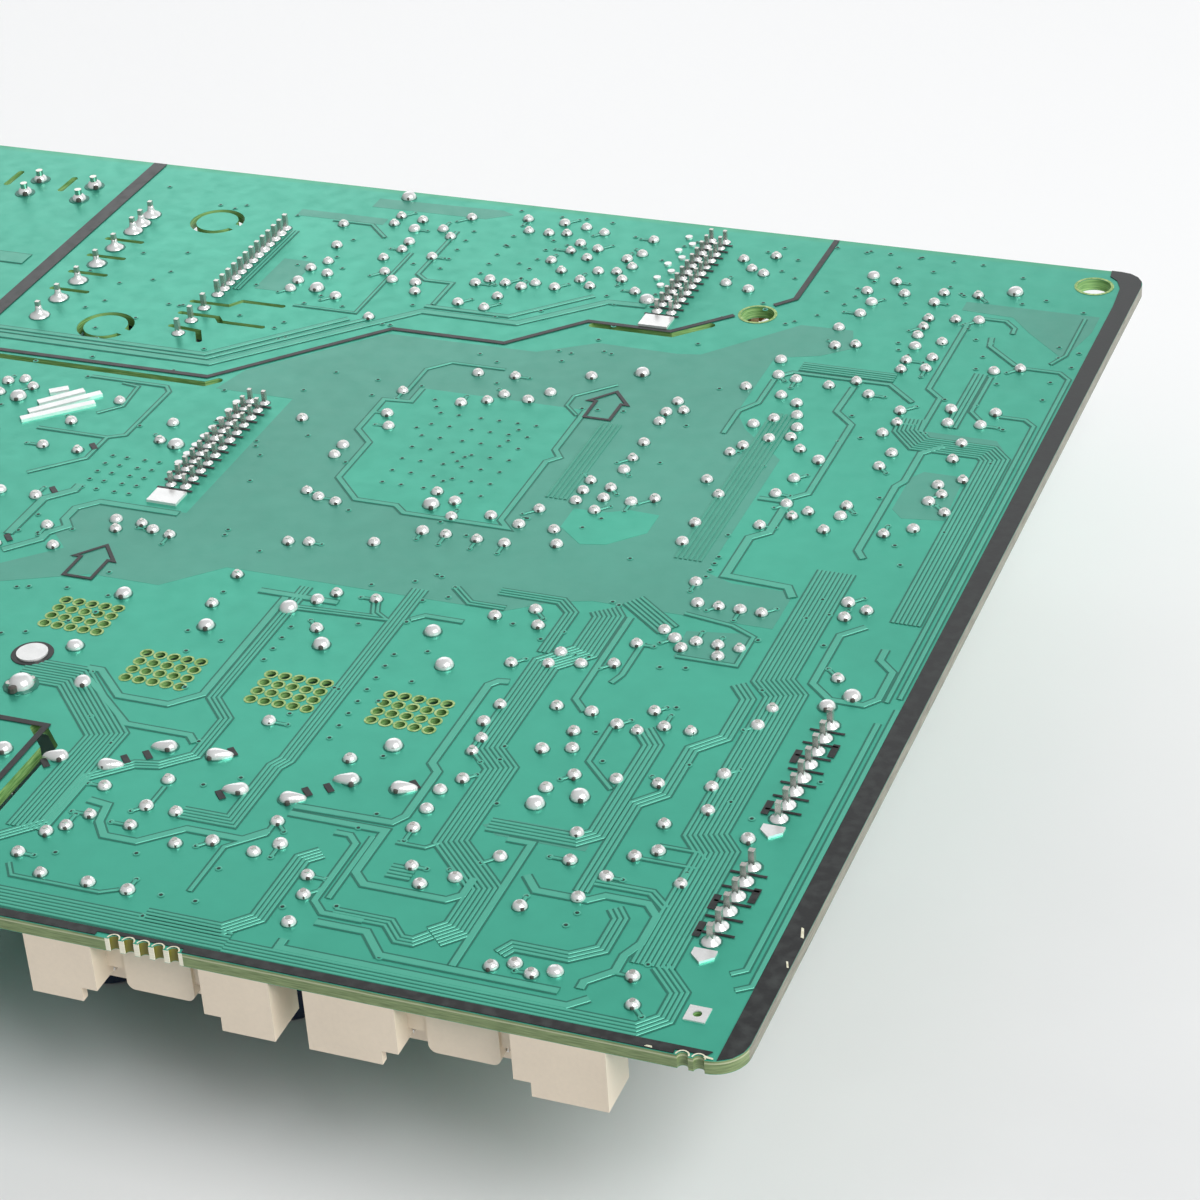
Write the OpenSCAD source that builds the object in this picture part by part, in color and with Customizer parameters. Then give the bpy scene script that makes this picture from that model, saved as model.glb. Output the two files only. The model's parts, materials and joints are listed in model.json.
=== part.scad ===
// Inverter control board of an appliance, a double-sided board with through-hole parts.
// It lies solder side up and rests on its tallest parts, with the parts hanging under it.
// Places on the board are [left, back]: millimetres left of the right edge, and back from the front edge.

/* [Board] */
// Length of the board, left to right
board_w = 250; // [245:1:300]
// Depth of the board, front to back
board_d = 168; // [166:1:202]
// Thickness of the laminate
board_t = 1.6; // [0.8:0.1:2.4]
// Radius of the board's corners
corner_r = 3.5; // [0.5:0.5:5]
// Height of the tallest parts, which is the room under the board
parts_h = 25; // [24:0.5:40]
// Diameter of the mounting holes
mount_hole_d = 4.4; // [3:0.1:5]
// Width of the isolation slots
slot_w = 1.2; // [0.8:0.1:2]

/* [Leads and solder] */
// Diameter of a thin lead
lead_d = 0.6; // [0.4:0.05:0.8]
// Diameter of a thick lead
thick_lead_d = 0.8; // [0.6:0.05:1.2]
// How far a lead's end stands out past the board
lead_out = 0.7; // [0.6:0.1:2]
// Gap between a lead and the wall of its hole
lead_gap = 0.1; // [0.05:0.05:0.3]
// Diameter of a small solder joint
joint_d = 1.9; // [1.2:0.1:2]
// Diameter of a large solder joint
large_joint_d = 2.5; // [1.6:0.1:2.8]
// Height of a small solder joint
joint_h = 0.7; // [0.4:0.1:1]

/* [Wafers and headers] */
// Pin pitch of the wafers
wafer_pitch = 2.5; // [2:0.5:4]
// Height of the side wafer housings
wafer_h = 7; // [5:0.5:10]
// Pin pitch of the module headers
header_pitch = 2; // [1.8:0.1:2.2]
// Pins in one row of a module header
header_rows = 12; // [6:1:12]
// Width of the left front wafer
front_wafer_left_w = 27.2; // [24:0.2:29]
// Width of the right front wafer
front_wafer_right_w = 31.4; // [28:0.2:33]
// How far the front wafers hang below the board
front_wafer_h = 7.3; // [6:0.1:10]

/* [Large parts] */
// Length of the power module
module_len = 38; // [36:1:42]
// Length of the heatsink
heatsink_len = 50; // [44:1:54]
// Number of heatsink fins
fin_count = 9; // [5:1:11]
// Diameter of the converter capacitors
converter_can_d = 10; // [8:0.5:10.5]
// Diameter of the bulk capacitors
bulk_can_d = 22; // [18:1:24]
// Body width of the controller chip
controller_w = 14; // [10:1:16]
// Leads on one side of the controller chip
controller_leads_per_side = 16; // [8:2:20]

/* [Hidden] */
$fn = 32;

deck = parts_h + board_t;
lead_r = lead_d / 2;
thick_r = thick_lead_d / 2;
broad_r = 0.5;
broad_out = 1.4;

// ---- Places of the parts, chosen by hand on a half-millimetre grid ----

hole_inset = 6;
mount_holes = [
    [hole_inset, board_d - 5], [46.5, board_d - 24], [board_w - hole_inset, board_d - 5],
    [board_w - hole_inset, hole_inset]
];

// Two-legged parts: [left, back] of one leg and of the other.
wire_link_ends = [
    [72.5, 17.5, 77.5, 18], [51, 15, 56, 19], [58, 17, 58, 22.5], [44, 49, 38, 50.5],
    [27.5, 29.5, 20.5, 27.5], [32, 68, 34, 64.5], [10.5, 33.5, 16, 37], [12.5, 5.5, 14, 9.5],
    [67, 39, 55.5, 35], [27.5, 52.5, 35, 60], [46, 57, 51.5, 65.5], [32, 78.5, 36.5, 86.5],
    [71.5, 76.5, 67, 80.5], [56.5, 80.5, 50.5, 82], [36.5, 91, 36, 98], [43, 95, 38.5, 101],
    [49, 107.5, 49, 113], [47, 116.5, 41.5, 124.5], [93, 102, 83.5, 112], [65, 116.5, 61.5, 122],
    [31.5, 139, 35, 143], [34, 138, 39.5, 132.5], [26, 126.5, 21, 123.5], [9, 101, 11.5, 96.5],
    [21, 142.5, 21, 149], [95, 162, 97.5, 157.5], [75.5, 144.5, 71, 146],
    [105, 157.5, 112, 155.5], [110, 149, 109, 144], [10.5, 64, 11.5, 78]
];
ceramic_ends = [
    [77.5, 7.5, 81.5, 10], [67.5, 7.5, 72, 7.5], [79, 15.5, 80.5, 14], [66.5, 16, 63, 17.5],
    [49.5, 7.5, 50, 12], [69, 21, 72.5, 21], [42.5, 35, 43.5, 40], [43.5, 42.5, 44.5, 45.5],
    [34, 50.5, 34.5, 46.5], [36.5, 42.5, 33.5, 43.5], [31.5, 39, 33.5, 36], [27, 39.5, 22.5, 40],
    [26.5, 25, 22, 23.5], [18.5, 29, 19.5, 33.5], [17, 41, 16.5, 43.5], [16, 53, 15.5, 56.5],
    [30.5, 49, 28, 48.5], [25.5, 50, 22.5, 50], [14, 79, 13.5, 76],
    [29, 65, 24.5, 64.5], [47.5, 68, 46, 65], [71, 65, 72.5, 63],
    [104, 73, 103, 71], [108.5, 65.5, 111.5, 69.5], [81.5, 74, 79, 74.5], [64, 80.5, 60, 80.5],
    [65, 84.5, 60.5, 86], [56.5, 85, 52, 85], [69, 89.5, 66, 88], [55.5, 89, 52, 92],
    [52, 94.5, 52, 97], [49, 96, 49, 93.5], [49, 90.5, 45.5, 93.5], [49, 100.5, 49, 103.5],
    [49, 115.5, 48.5, 118.5], [85, 97, 85, 94.5], [81.5, 103, 83, 106], [75, 111, 72, 112.5],
    [70.5, 114.5, 67, 114], [76, 119, 71, 119.5], [38, 108, 37, 110], [34.5, 112.5, 37.5, 115.5],
    [35.5, 117.5, 33, 119], [32, 116, 32, 113.5], [30, 111, 27, 109], [34, 122, 36.5, 123.5],
    [28.5, 104, 29.5, 100], [27.5, 98, 24.5, 97], [26, 95.5, 29, 92.5], [20.5, 99.5, 20.5, 97],
    [21.5, 93.5, 14.5, 94.5], [10.5, 105, 11.5, 103], [9, 109, 11.5, 107], [19, 113, 19.5, 109.5],
    [11.5, 117.5, 11.5, 113.5], [20.5, 120.5, 21.5, 117.5], [15, 125.5, 14.5, 122],
    [9.5, 126, 10.5, 122.5], [38.5, 128.5, 36, 128], [31.5, 127.5, 28.5, 129.5], [9.5, 138, 12.5, 136.5],
    [24.5, 148.5, 24.5, 146], [24.5, 143.5, 24, 140.5], [24, 136.5, 24, 134], [21, 138, 21, 135],
    [25, 153, 24.5, 156], [29.5, 154.5, 31.5, 157.5],
    [35, 158.5, 34.5, 154], [33, 151, 33.5, 147.5], [53.5, 159, 49.5, 161], [51.5, 156.5, 49.5, 155.5],
    [53.5, 151.5, 50, 150.5], [67.5, 161.5, 67.5, 157], [69, 155, 67.5, 153], [69, 151, 71.5, 150.5],
    [64.5, 146, 67.5, 149], [73, 147.5, 76.5, 149.5], [79, 152, 77.5, 155.5], [74.5, 154, 74, 157],
    [77, 158, 75, 162], [78, 163, 81.5, 163.5], [80, 160.5, 82.5, 160], [85.5, 160, 87, 163.5],
    [80, 143.5, 78.5, 145], [85, 144.5, 82.5, 144], [82, 140, 82.5, 136.5], [94.5, 141, 93.5, 138.5],
    [98, 141, 100, 143], [102, 147, 100.5, 150], [100.5, 152.5, 101.5, 156.5], [101.5, 159.5, 105, 160],
    [107.5, 140.5, 110.5, 141.5], [110.5, 137.5, 110.5, 135], [108.5, 96.5, 108, 92], [133, 102, 131, 100.5],
    [135, 101, 134.5, 98]
];
resistor_ends = [
    [72.5, 26, 78.5, 23], [33.5, 23.5, 28.5, 16.5], [23.5, 19.5, 14.5, 24.5], [66, 65, 70, 57.5],
    [18, 149.5, 20, 156.5], [95.5, 155.5, 95.5, 149], [86.5, 143, 86.5, 137], [96.5, 130, 103.5, 134.5],
    [118, 100, 121.5, 93.5], [84, 65.5, 84, 59]
];
power_resistor_ends = [
    [95, 58, 95, 46.5], [82.5, 54.5, 90.5, 40], [68, 54.5, 75, 60.5], [53, 54.5, 52, 38.5]
];
test_pin_places = [
    [33.5, 33], [29.5, 35.5], [68.5, 86.5], [55.5, 124.5], [15.5, 158.5], [62, 144], [106.5, 166],
    [107, 136], [105.5, 91.5], [131.5, 97.5], [98, 37], [92.5, 26], [96, 38.5], [8, 61],
    [10, 58.5], [57, 60.5]
];
// Three-legged parts: the three legs, the middle one second.
transistor_legs = [
    [[41.5, 19.5], [39.5, 17], [36.5, 19]], [[41.5, 60.5], [42, 58], [38.5, 59]],
    [[84.5, 85.5], [82.5, 84.5], [80, 84]], [[100.5, 73], [98.5, 72], [96, 71.5]],
    [[44, 32.5], [44, 29], [44, 25.5]]
];

// Polarised capacitors: middle, diameter, height, leg spacing, turn.
converter_cans = [[83, 26.5], [72.5, 31.5], [61.5, 26.5], [51, 31.5]];
converter_leg_gap = 5.5;
small_cans = [[119.5, 87], [119, 75.5], [118, 64]];
small_can_d = 8;
small_can_h = 14;
bulk_cans = [[board_w - 60, 150], [board_w - 30, 150], [board_w - 45, 26]];
bulk_leg_gap = 10;

wafer_back_place = [8.6, 46.5];
wafer_back_pins = 8;
wafer_front_place = [8.6, 23];
wafer_front_pins = 6;
wafer_d = 5.8;
wafer_wall = 0.8;
wafer_pin_w = 0.64;
service_wafer_place = [24.5, 7.5];
service_pitch = 2.1;
service_pins = 4;

header_back_place = [58.7, 152.5];
header_left_place = [100.5, 93.5];
header_body_w = 4.6;
header_body_h = 8.5;
header_pin_w = 0.5;
header_pin_out = 1.8;

front_wafer_left_place = 62;
front_wafer_right_place = 29;
front_wafer_d = 5.4;
front_wafer_wall = 0.9;
front_middle_w = 12;
front_step = 1.8;
front_recess = 2.6;
front_tongue_w = 7.6;
front_tongue_out = 0.4;
front_tongue_r = 0.9;
front_ear_w = 0.9;
front_floor = 2.2;
front_post_w = 0.6;

module_mid = [130, 135.5];
module_w = 17;
module_t = 4.5;
module_lift = 4;
module_draft = 0.5;
module_pin_w = 0.6;
module_pin_pitch = 1.778;
module_fine_row = 119.5;
module_coarse_row = 140.5;
module_fine_backs = concat([for (i = [0:12]) 152.3 - i * module_pin_pitch], [126.8, 123, 119.2]);
module_coarse_backs = [151.5, 148.5, 146, 140.5, 135.2, 129.8, 124.3, 119];
module_pin_out = 2.2;
module_screw_backs = [152, 118.7];
screw_notch_w = 3.4;
screw_d = 2.6;
sheet_t = 0.5;

heatsink_mid = [130, 135.5];
heatsink_w = 44;
heatsink_base_t = 4;
fin_t = 1.6;

controller_mid = [70.5, 101];
driver_mid = [26.5, 70.5];
dip_pitch = 2.54;
dip_row_gap = 7.62;

// Diagonal bars of bare tinned copper by the left edge, as [left, back] of both ends.
tinned_bars = [[128, 99.5, 126, 101], [128, 96.5, 123.7, 101], [128, 94, 121.2, 101], [128, 92, 120.8, 98.5]];
// Round dots of solder in a column beside the left header and in two staggered columns beside the back one.
header_dots = concat(
    [for (i = [0:7]) header_left_place + [2.5, 10 - i * 2.3]],
    [for (i = [0:3]) header_back_place + [4.3, 11 - i * 4.3]],
    [for (i = [0:3]) header_back_place + [3.1, 9 - i * 4.3]]);

vent_mids = [[97.5, 52.5], [83, 45], [67.5, 45], [53, 45]];
vent_pitch = 1.7;
vent_hole_d = 1.4;

blade_places = [[162.5, 156], [153.5, 156]];
blade_leg_gap = 4.6;

transformer_mid = [165, 85];
transformer_h = 21;
bridge_mid = [board_w - 45, 122];
fuse_mid = [board_w - 12, 105];
varistor_mid = [board_w - 28, 104];
varistor_lift = 2.6;
film_places = [[board_w - 22, 72, 18, 9, 15], [board_w - 22, 52, 26, 10, 18], [184, 128, 13, 6, 12]];
choke_mid = [board_w - 50, 68];
relay_places = [[160, 20], [182, 20]];
mains_mid = [board_w - 14, 25];
mains_pins = 4;
mains_pitch = 3.96;
crystal_mid = [91.5, 99];

// ---- Rules that turn a part's ends into its middle, span and turn ----

function span(p) = norm([p[2] - p[0], p[3] - p[1]]);
function mid(p) = [(p[0] + p[2]) / 2, (p[1] + p[3]) / 2];
function turn(p) = atan2(p[3] - p[1], p[0] - p[2]);
function legs(list) = [for (p = list) each [[p[0], p[1]], [p[2], p[3]]]];
function flat(list) = [for (group = list) each group];
// The legs of an upright part at a middle, with a spacing along the board's length.
function pair(at, gap) = [[at[0] + gap / 2, at[1]], [at[0] - gap / 2, at[1]]];
// The places of a row of pins along the board's depth, from the back to the front.
function row(at, count, pitch) = [
    for (i = [0:count - 1]) [at[0], at[1] + (count - 1) * pitch / 2 - i * pitch]
];
// The same along the board's length, from the left to the right.
function rank(at, count, pitch) = [
    for (i = [0:count - 1]) [at[0] + (count - 1) * pitch / 2 - i * pitch, at[1]]
];

converter_legs = flat([for (c = converter_cans) pair(c, converter_leg_gap)]);
small_can_legs = flat([for (c = small_cans) pair(c, 5)]);
bulk_legs = flat([for (c = bulk_cans) pair(c, bulk_leg_gap)]);
wafer_pin_places = concat(
    row(wafer_back_place, wafer_back_pins, wafer_pitch),
    row(wafer_front_place, wafer_front_pins, wafer_pitch));
service_pin_places = [for (i = [0:service_pins - 1])
    [service_wafer_place[0] + (1.5 - i) * service_pitch, service_wafer_place[1] - 0.5 + (i % 2)]];
header_pin_places = flat([for (place = [header_back_place, header_left_place]) for (side = [-0.5, 0.5])
    row([place[0] + side * header_pitch, place[1]], header_rows, header_pitch)]);
module_pin_places = concat(
    [for (back = module_fine_backs) [module_fine_row, back]],
    [for (back = module_coarse_backs) [module_coarse_row, back]]);
blade_legs = [for (b = blade_places, side = [0.5, -0.5]) b + [0, side * blade_leg_gap]];
driver_pin_places = flat([for (side = [-0.5, 0.5])
    rank([driver_mid[0], driver_mid[1] + side * dip_row_gap], 4, dip_pitch)]);
transformer_pin_places = flat([for (side = [-12.5, 12.5])
    row([transformer_mid[0] + side, transformer_mid[1]], 5, 5)]);
bridge_pin_places = rank(bridge_mid, 4, 5);
fuse_leg_places = [for (y = [-10, 10], x = [-2.5, 2.5]) [fuse_mid[0] + x, fuse_mid[1] + y]];
varistor_pin_places = [[varistor_mid[0], varistor_mid[1] + 3.75], [varistor_mid[0], varistor_mid[1] - 3.75]];
film_pin_places = flat([for (f = film_places) pair([f[0], f[1]], f[2] - 3.5)]);
choke_pin_places = [for (x = [-6, 6], y = [-5, 5]) [choke_mid[0] + x, choke_mid[1] + y]];
relay_pins_at = [[-6, -6], [-6, 6], [6, 0], [7, -6], [7, 6]];
relay_pin_places = [for (relay = relay_places, pin = relay_pins_at) relay + pin];
mains_pin_places = row(mains_mid, mains_pins, mains_pitch);

thin_legs = concat(
    legs(wire_link_ends), legs(ceramic_ends), legs(resistor_ends), flat(transistor_legs), service_pin_places,
    driver_pin_places, small_can_legs);
thick_legs = concat(
    legs(power_resistor_ends), test_pin_places, converter_legs, film_pin_places, varistor_pin_places,
    transformer_pin_places, relay_pin_places, choke_pin_places);
broad_legs = concat(bulk_legs, blade_legs, bridge_pin_places, fuse_leg_places, mains_pin_places);
pin_hole_r = 0.5;

// ---- Placing ----

// Puts a part on the underside of the board, drawn as if it stood on the board at height 0.
module under(at, angle = 0) {
    translate([board_w / 2 - at[0], at[1] - board_d / 2, parts_h]) mirror([0, 0, 1]) rotate(angle) children();
}

// Puts a thing on the solder side.
module above(at, angle = 0) {
    translate([board_w / 2 - at[0], at[1] - board_d / 2, deck]) rotate(angle) children();
}

// Puts a flat outline at a place on the board.
module outline_at(at) {
    translate([board_w / 2 - at[0], at[1] - board_d / 2]) children();
}

// A straight round leg from a height under the board to its end above it.
module leg(at, r, reach, out = lead_out) {
    under(at) translate([0, 0, -board_t - out]) cylinder(r = r, h = reach + board_t + out);
}

// A square pin on the same terms.
module square_pin(at, w, reach, out) {
    under(at) translate([-w / 2, -w / 2, -board_t - out]) cube([w, w, reach + board_t + out]);
}

// ---- Circuit board ----

// An outline along a path of round-ended strokes.
module stroke(points, width) {
    for (i = [0:len(points) - 1]) outline_at(points[i]) circle(d = width + 0.04);
    for (i = [0:len(points) - 2]) {
        a = points[i];
        b = points[i + 1];
        outline_at(a) rotate(atan2(b[1] - a[1], a[0] - b[0]))
            translate([0, -width / 2]) square([norm(b - a), width]);
    }
}

// A ring slot with one bridge, which leaves a disc over a screw.
module ring_slot(at, bridge_angle = -18) {
    outline_at(at) difference() {
        circle(r = 3.9);
        circle(r = 3);
        rotate(bridge_angle) translate([2, -0.7]) square([3, 1.4]);
    }
}

module vent_grid(at) {
    for (x = [-2:2], y = [-1.5:1.5]) outline_at([at[0] + x * vent_pitch, at[1] + y * vent_pitch])
        circle(d = vent_hole_d);
}

// The blank with its corners rounded and the half holes of its snapped-off tabs.
module board_blank() {
    difference() {
        union() {
            translate([-board_w / 2 + corner_r, -board_d / 2]) square([board_w - 2 * corner_r, board_d]);
            translate([-board_w / 2, -board_d / 2 + corner_r]) square([board_w, board_d - 2 * corner_r]);
            for (x = [-1, 1], y = [-1, 1])
                translate([x * (board_w / 2 - corner_r), y * (board_d / 2 - corner_r)]) circle(r = corner_r);
        }
        for (left = concat([for (i = [0:4]) 58.5 + i * 1.65], [4, 5.6], [for (i = [0:4]) 148 + i * 1.65]))
            outline_at([left, 0]) circle(d = 1.1);
    }
}

module circuit_board() {
    color("mediumseagreen") translate([0, 0, parts_h]) linear_extrude(board_t) difference() {
        board_blank();
        for (at = mount_holes) outline_at(at) circle(d = mount_hole_d);
        for (at = thin_legs) outline_at(at) circle(r = lead_r + lead_gap);
        for (at = thick_legs) outline_at(at) circle(r = thick_r + lead_gap);
        for (at = concat(broad_legs, wafer_pin_places, module_pin_places)) outline_at(at) circle(r = 0.6);
        for (at = header_pin_places) outline_at(at) circle(r = 0.45);
        for (at = vent_mids) vent_grid(at);
        for (back = module_screw_backs) ring_slot([module_mid[0] + 0.2, back]);
        stroke([[165, 107.2], [109.5, 107.2], [108.2, 108.5]], slot_w);
        stroke([[66.5, 135.6], [55.5, 135.6], [51.5, 139.5]], slot_w);
        stroke([[91, 31], [88, 28], [88, 10]], slot_w * 1.5);
        for (back = [143, 137.6, 132.3, 127]) stroke([[143, back], [137.7, back]], 0.8);
        stroke([[122, 128.3], [116.5, 128.3], [115.3, 130], [109.3, 130]], 0.8);
        stroke([[122, 124.8], [116.5, 124.8], [115.5, 123.7], [109.3, 123.7]], 0.8);
        stroke([[121.5, 121], [117.2, 120.5], [115.8, 118]], 0.8);
        for (at = [[166.8, 158], [157.8, 158]]) stroke([[at[0], at[1] - 2], [at[0], at[1] + 2]], 1);
        outline_at([6.2, 6]) circle(d = 0.9);
    }
}

// ---- Solder ----

// A fillet of solder turned round a leg, flat on the board and steep at the leg.
module solder(at, d, h, r) {
    above(at) rotate_extrude() polygon([
        [r, 0], [d / 2, 0], [d / 2 * 0.94, h * 0.35], [d / 2 * 0.72, h * 0.75], [r + 0.08, h], [r, h]
    ]);
}

module solder_joints() {
    color("gainsboro") for (at = thin_legs) solder(at, joint_d, joint_h, lead_r);
}

module large_solder_joints() {
    color("gainsboro") {
        for (at = thick_legs) solder(at, large_joint_d, joint_h * 1.2, thick_r);
        for (at = broad_legs) solder(at, large_joint_d * 1.3, joint_h * 1.5, broad_r);
    }
}

// A fillet round a square pin, drawn out along the row's solder wave.
module pin_fillet(at, l, w, h, pin) {
    above(at) difference() {
        rotate([90, 0, 0]) translate([0, 0, -w / 2]) linear_extrude(w) polygon([
            [-l / 2, 0], [l / 2, 0], [l / 2 * 0.6, h * 0.75], [pin / 2 + 0.1, h],
            [-pin / 2 - 0.1, h], [-l / 2 * 0.6, h * 0.75]
        ]);
        translate([-pin / 2, -pin / 2, -1]) cube([pin, pin, h + 2]);
    }
}

module pin_solder() {
    color("gainsboro") {
        for (at = header_pin_places) pin_fillet(at, 1.5, 1.2, 1, header_pin_w);
        for (at = wafer_pin_places) pin_fillet(at, 2.2, 1.6, 1, wafer_pin_w);
        for (back = module_fine_backs) pin_fillet([module_fine_row, back], 1.8, 1.2, 1.2, module_pin_w);
        for (back = module_coarse_backs) pin_fillet([module_coarse_row, back], 2.8, 2, 1.2, module_pin_w);
    }
}

// The arrow-shaped pad that draws solder off the end of a wafer's row.
module thief_arrow(at) {
    above(at) linear_extrude(0.25) polygon([[-1.2, 0.8], [1.2, 0.8], [1.2, -0.2], [0, -1.3], [-1.2, -0.2]]);
}

module tinned_pads() {
    color("gainsboro") {
        thief_arrow([8.6, wafer_back_place[1] - wafer_back_pins * wafer_pitch / 2 - 1]);
        thief_arrow([8.6, wafer_front_place[1] - wafer_front_pins * wafer_pitch / 2 - 1]);
        for (at = [header_back_place, header_left_place])
            above([at[0], at[1] - header_rows * header_pitch / 2 - 2]) translate([-2, -1.6])
                cube([4, 3, 0.35]);
        for (bar = tinned_bars)
            above(mid(bar), turn(bar)) translate([-span(bar) / 2, -0.55]) cube([span(bar), 1.1, 0.4]);
        for (at = header_dots) above(at) cylinder(d = 1, h = 0.3);
        above([99, 43.8]) cylinder(d = 3.6, h = 0.3);
        above([6.2, 6]) difference() {
            translate([-1.1, -1.1]) cube([2.2, 2.2, 0.15]);
            translate([0, 0, -1]) cylinder(d = 0.9, h = 2);
        }
    }
}

// ---- Wafers and headers ----

// The plan of a front wafer: two end blocks that stand forward of a recessed middle wall.
module front_wafer_plan(w, inset = 0) {
    notch = front_middle_w + 2 * inset;
    difference() {
        translate([-w / 2 + inset, inset]) square([w - 2 * inset, front_wafer_d - 2 * inset]);
        translate([-notch / 2, -1]) square([notch, front_recess + 1 + inset]);
    }
}

// The front view of a wafer's tongue, with its two free corners rounded.
module tongue_face(reach) {
    half = front_tongue_w / 2 - front_tongue_r;
    translate([-front_tongue_w / 2, 0]) square([front_tongue_w, reach - front_tongue_r]);
    translate([-half, 0]) square([2 * half, reach]);
    for (side = [-1, 1]) translate([side * half, reach - front_tongue_r]) circle(r = front_tongue_r);
}

// A curved ear by which a wafer's end is held to the board.
module front_ear(w) {
    half = w / 2;
    translate([0, 4.6, 0]) rotate([90, 0, 0]) linear_extrude(1.6) polygon([
        [half - 0.5, 0], [half + front_ear_w, 0], [half + front_ear_w, 0.6], [half + 0.4, 1.2],
        [half + 0.2, 2.5], [half - 0.5, 2.9]
    ]);
}

// A latching surface-mount wafer, open away from the board. Its end blocks step down towards
// a recess, where a tongue stands forward of a cut-down wall.
module front_wafer(left, w) {
    low_wall = front_wafer_h - 3;
    tongue_reach = front_wafer_h - 0.9;
    under([left, 0]) difference() {
        union() {
            linear_extrude(front_wafer_h) front_wafer_plan(w);
            translate([0, front_recess, 0]) rotate([90, 0, 0]) linear_extrude(front_tongue_out)
                tongue_face(tongue_reach);
            front_ear(w);
            mirror([1, 0, 0]) front_ear(w);
        }
        translate([0, 0, front_floor]) linear_extrude(front_wafer_h) front_wafer_plan(w, front_wafer_wall);
        translate([0, front_recess + front_wafer_wall + 0.1, 0]) rotate([90, 0, 0])
            linear_extrude(front_wafer_wall + 0.1) difference() {
                translate([-front_middle_w / 2, low_wall]) square([front_middle_w, 4]);
                tongue_face(tongue_reach);
            }
        for (side = [-1, 1])
            translate([side * (front_middle_w + front_step) / 2 - front_step / 2, -1, front_wafer_h - 1.7])
                cube([front_step, front_wafer_d - 0.4, 3]);
    }
}

module front_wafer_left() {
    color("wheat") front_wafer(front_wafer_left_place, front_wafer_left_w);
}

module front_wafer_right() {
    color("wheat") front_wafer(front_wafer_right_place, front_wafer_right_w);
}

// Square posts that stand on a front wafer's floor.
module front_wafer_posts(left, w) {
    count = floor((w - 5.5) / wafer_pitch);
    for (i = [0:count - 1]) under([left, 0])
        translate([((i - (count - 1) / 2) * wafer_pitch) - front_post_w / 2, 3.7, front_floor])
            cube([front_post_w, front_post_w, 3.6]);
}

module front_wafer_pins() {
    color("silver") {
        front_wafer_posts(front_wafer_left_place, front_wafer_left_w);
        front_wafer_posts(front_wafer_right_place, front_wafer_right_w);
    }
}

// A shrouded wafer along the board's depth, with a keying slot in its long wall and room for its pins.
module shrouded_wafer(at, count) {
    pitch = wafer_pitch;
    d = wafer_d;
    h = wafer_h;
    pin_w = wafer_pin_w;
    l = (count - 1) * pitch + 4.9;
    under(at) difference() {
        translate([-d / 2, -l / 2, 0]) cube([d, l, h]);
        translate([-d / 2 + wafer_wall, -l / 2 + wafer_wall, 2])
            cube([d - 2 * wafer_wall, l - 2 * wafer_wall, h]);
        for (side = [-1, 1]) translate([-d / 2 - 1, side * (l / 2 - 2.2) - 0.6, 3]) cube([2.5, 1.2, h]);
        for (i = [0:count - 1]) translate([-pin_w / 2, (i - (count - 1) / 2) * pitch - pin_w / 2, -1])
            cube([pin_w, pin_w, 4]);
    }
}

module side_wafer_back() {
    color("wheat") shrouded_wafer(wafer_back_place, wafer_back_pins);
}

module side_wafer_front() {
    color("wheat") shrouded_wafer(wafer_front_place, wafer_front_pins);
}

module service_wafer() {
    l = (service_pins - 1) * service_pitch + 3;
    color("wheat") difference() {
        under(service_wafer_place) translate([-l / 2, -1.5, 0]) cube([l, 3.6, 2.4]);
        for (at = service_pin_places) under(at) translate([0, 0, -1]) cylinder(r = lead_r, h = 4);
    }
}

module wafer_pins() {
    color("silver") {
        for (at = wafer_pin_places) square_pin(at, wafer_pin_w, wafer_h - 1, 2.2);
        for (at = service_pin_places) leg(at, lead_r, 7);
    }
}

// A two-row insulator with a passage for each pin.
module header_body(place) {
    l = header_rows * header_pitch + 1;
    under(place) difference() {
        translate([-header_body_w / 2, -l / 2, 0]) cube([header_body_w, l, header_body_h]);
        for (side = [-0.5, 0.5], i = [0:header_rows - 1])
            translate([side * header_pitch - header_pin_w / 2,
                (i - (header_rows - 1) / 2) * header_pitch - header_pin_w / 2, -1])
                cube([header_pin_w, header_pin_w, header_body_h + 2]);
    }
}

module header_back() {
    color("dimgray") header_body(header_back_place);
}

module header_left() {
    color("dimgray") header_body(header_left_place);
}

module header_pins() {
    color("silver") for (at = header_pin_places) square_pin(at, header_pin_w, header_body_h, header_pin_out);
}

// ---- Power module and heatsink ----

// The module's moulded body, widest where its pins come out, with a screw notch in each end.
module power_module() {
    half = module_w / 2;
    top = half - module_draft;
    color("dimgray") under(module_mid) translate([0, 0, module_lift]) difference() {
        translate([0, module_len / 2, 0]) rotate([90, 0, 0]) linear_extrude(module_len) polygon([
            [-top, 0], [top, 0], [half, module_t / 2 - 0.6], [half, module_t / 2 + 0.6], [top, module_t],
            [-top, module_t], [-half, module_t / 2 + 0.6], [-half, module_t / 2 - 0.6]
        ]);
        translate([0, 0, -1]) linear_extrude(module_t + 2) {
            for (back = module_screw_backs) translate([0, back - module_mid[1]]) circle(d = screw_notch_w);
            for (side = [-1, 1]) translate([-screw_notch_w / 2, side * module_len / 2 - 2.2])
                square([screw_notch_w, 4.4]);
        }
    }
}

// One pin: out of the body's side, then bent down through the board.
module module_pin(at, w, side) {
    reach = module_lift + module_t / 2;
    run = abs(at[0] - module_mid[0]) - module_w / 2;
    square_pin(at, w, reach + w / 2, module_pin_out);
    under(at) translate([side > 0 ? w / 2 : -run, -w / 2, reach - w / 2]) cube([run - w / 2, w, w]);
}

module power_module_pins() {
    color("silver") {
        for (back = module_fine_backs) module_pin([module_fine_row, back], module_pin_w, -1);
        for (back = module_coarse_backs) module_pin([module_coarse_row, back], module_pin_w, 1);
    }
}

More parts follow.
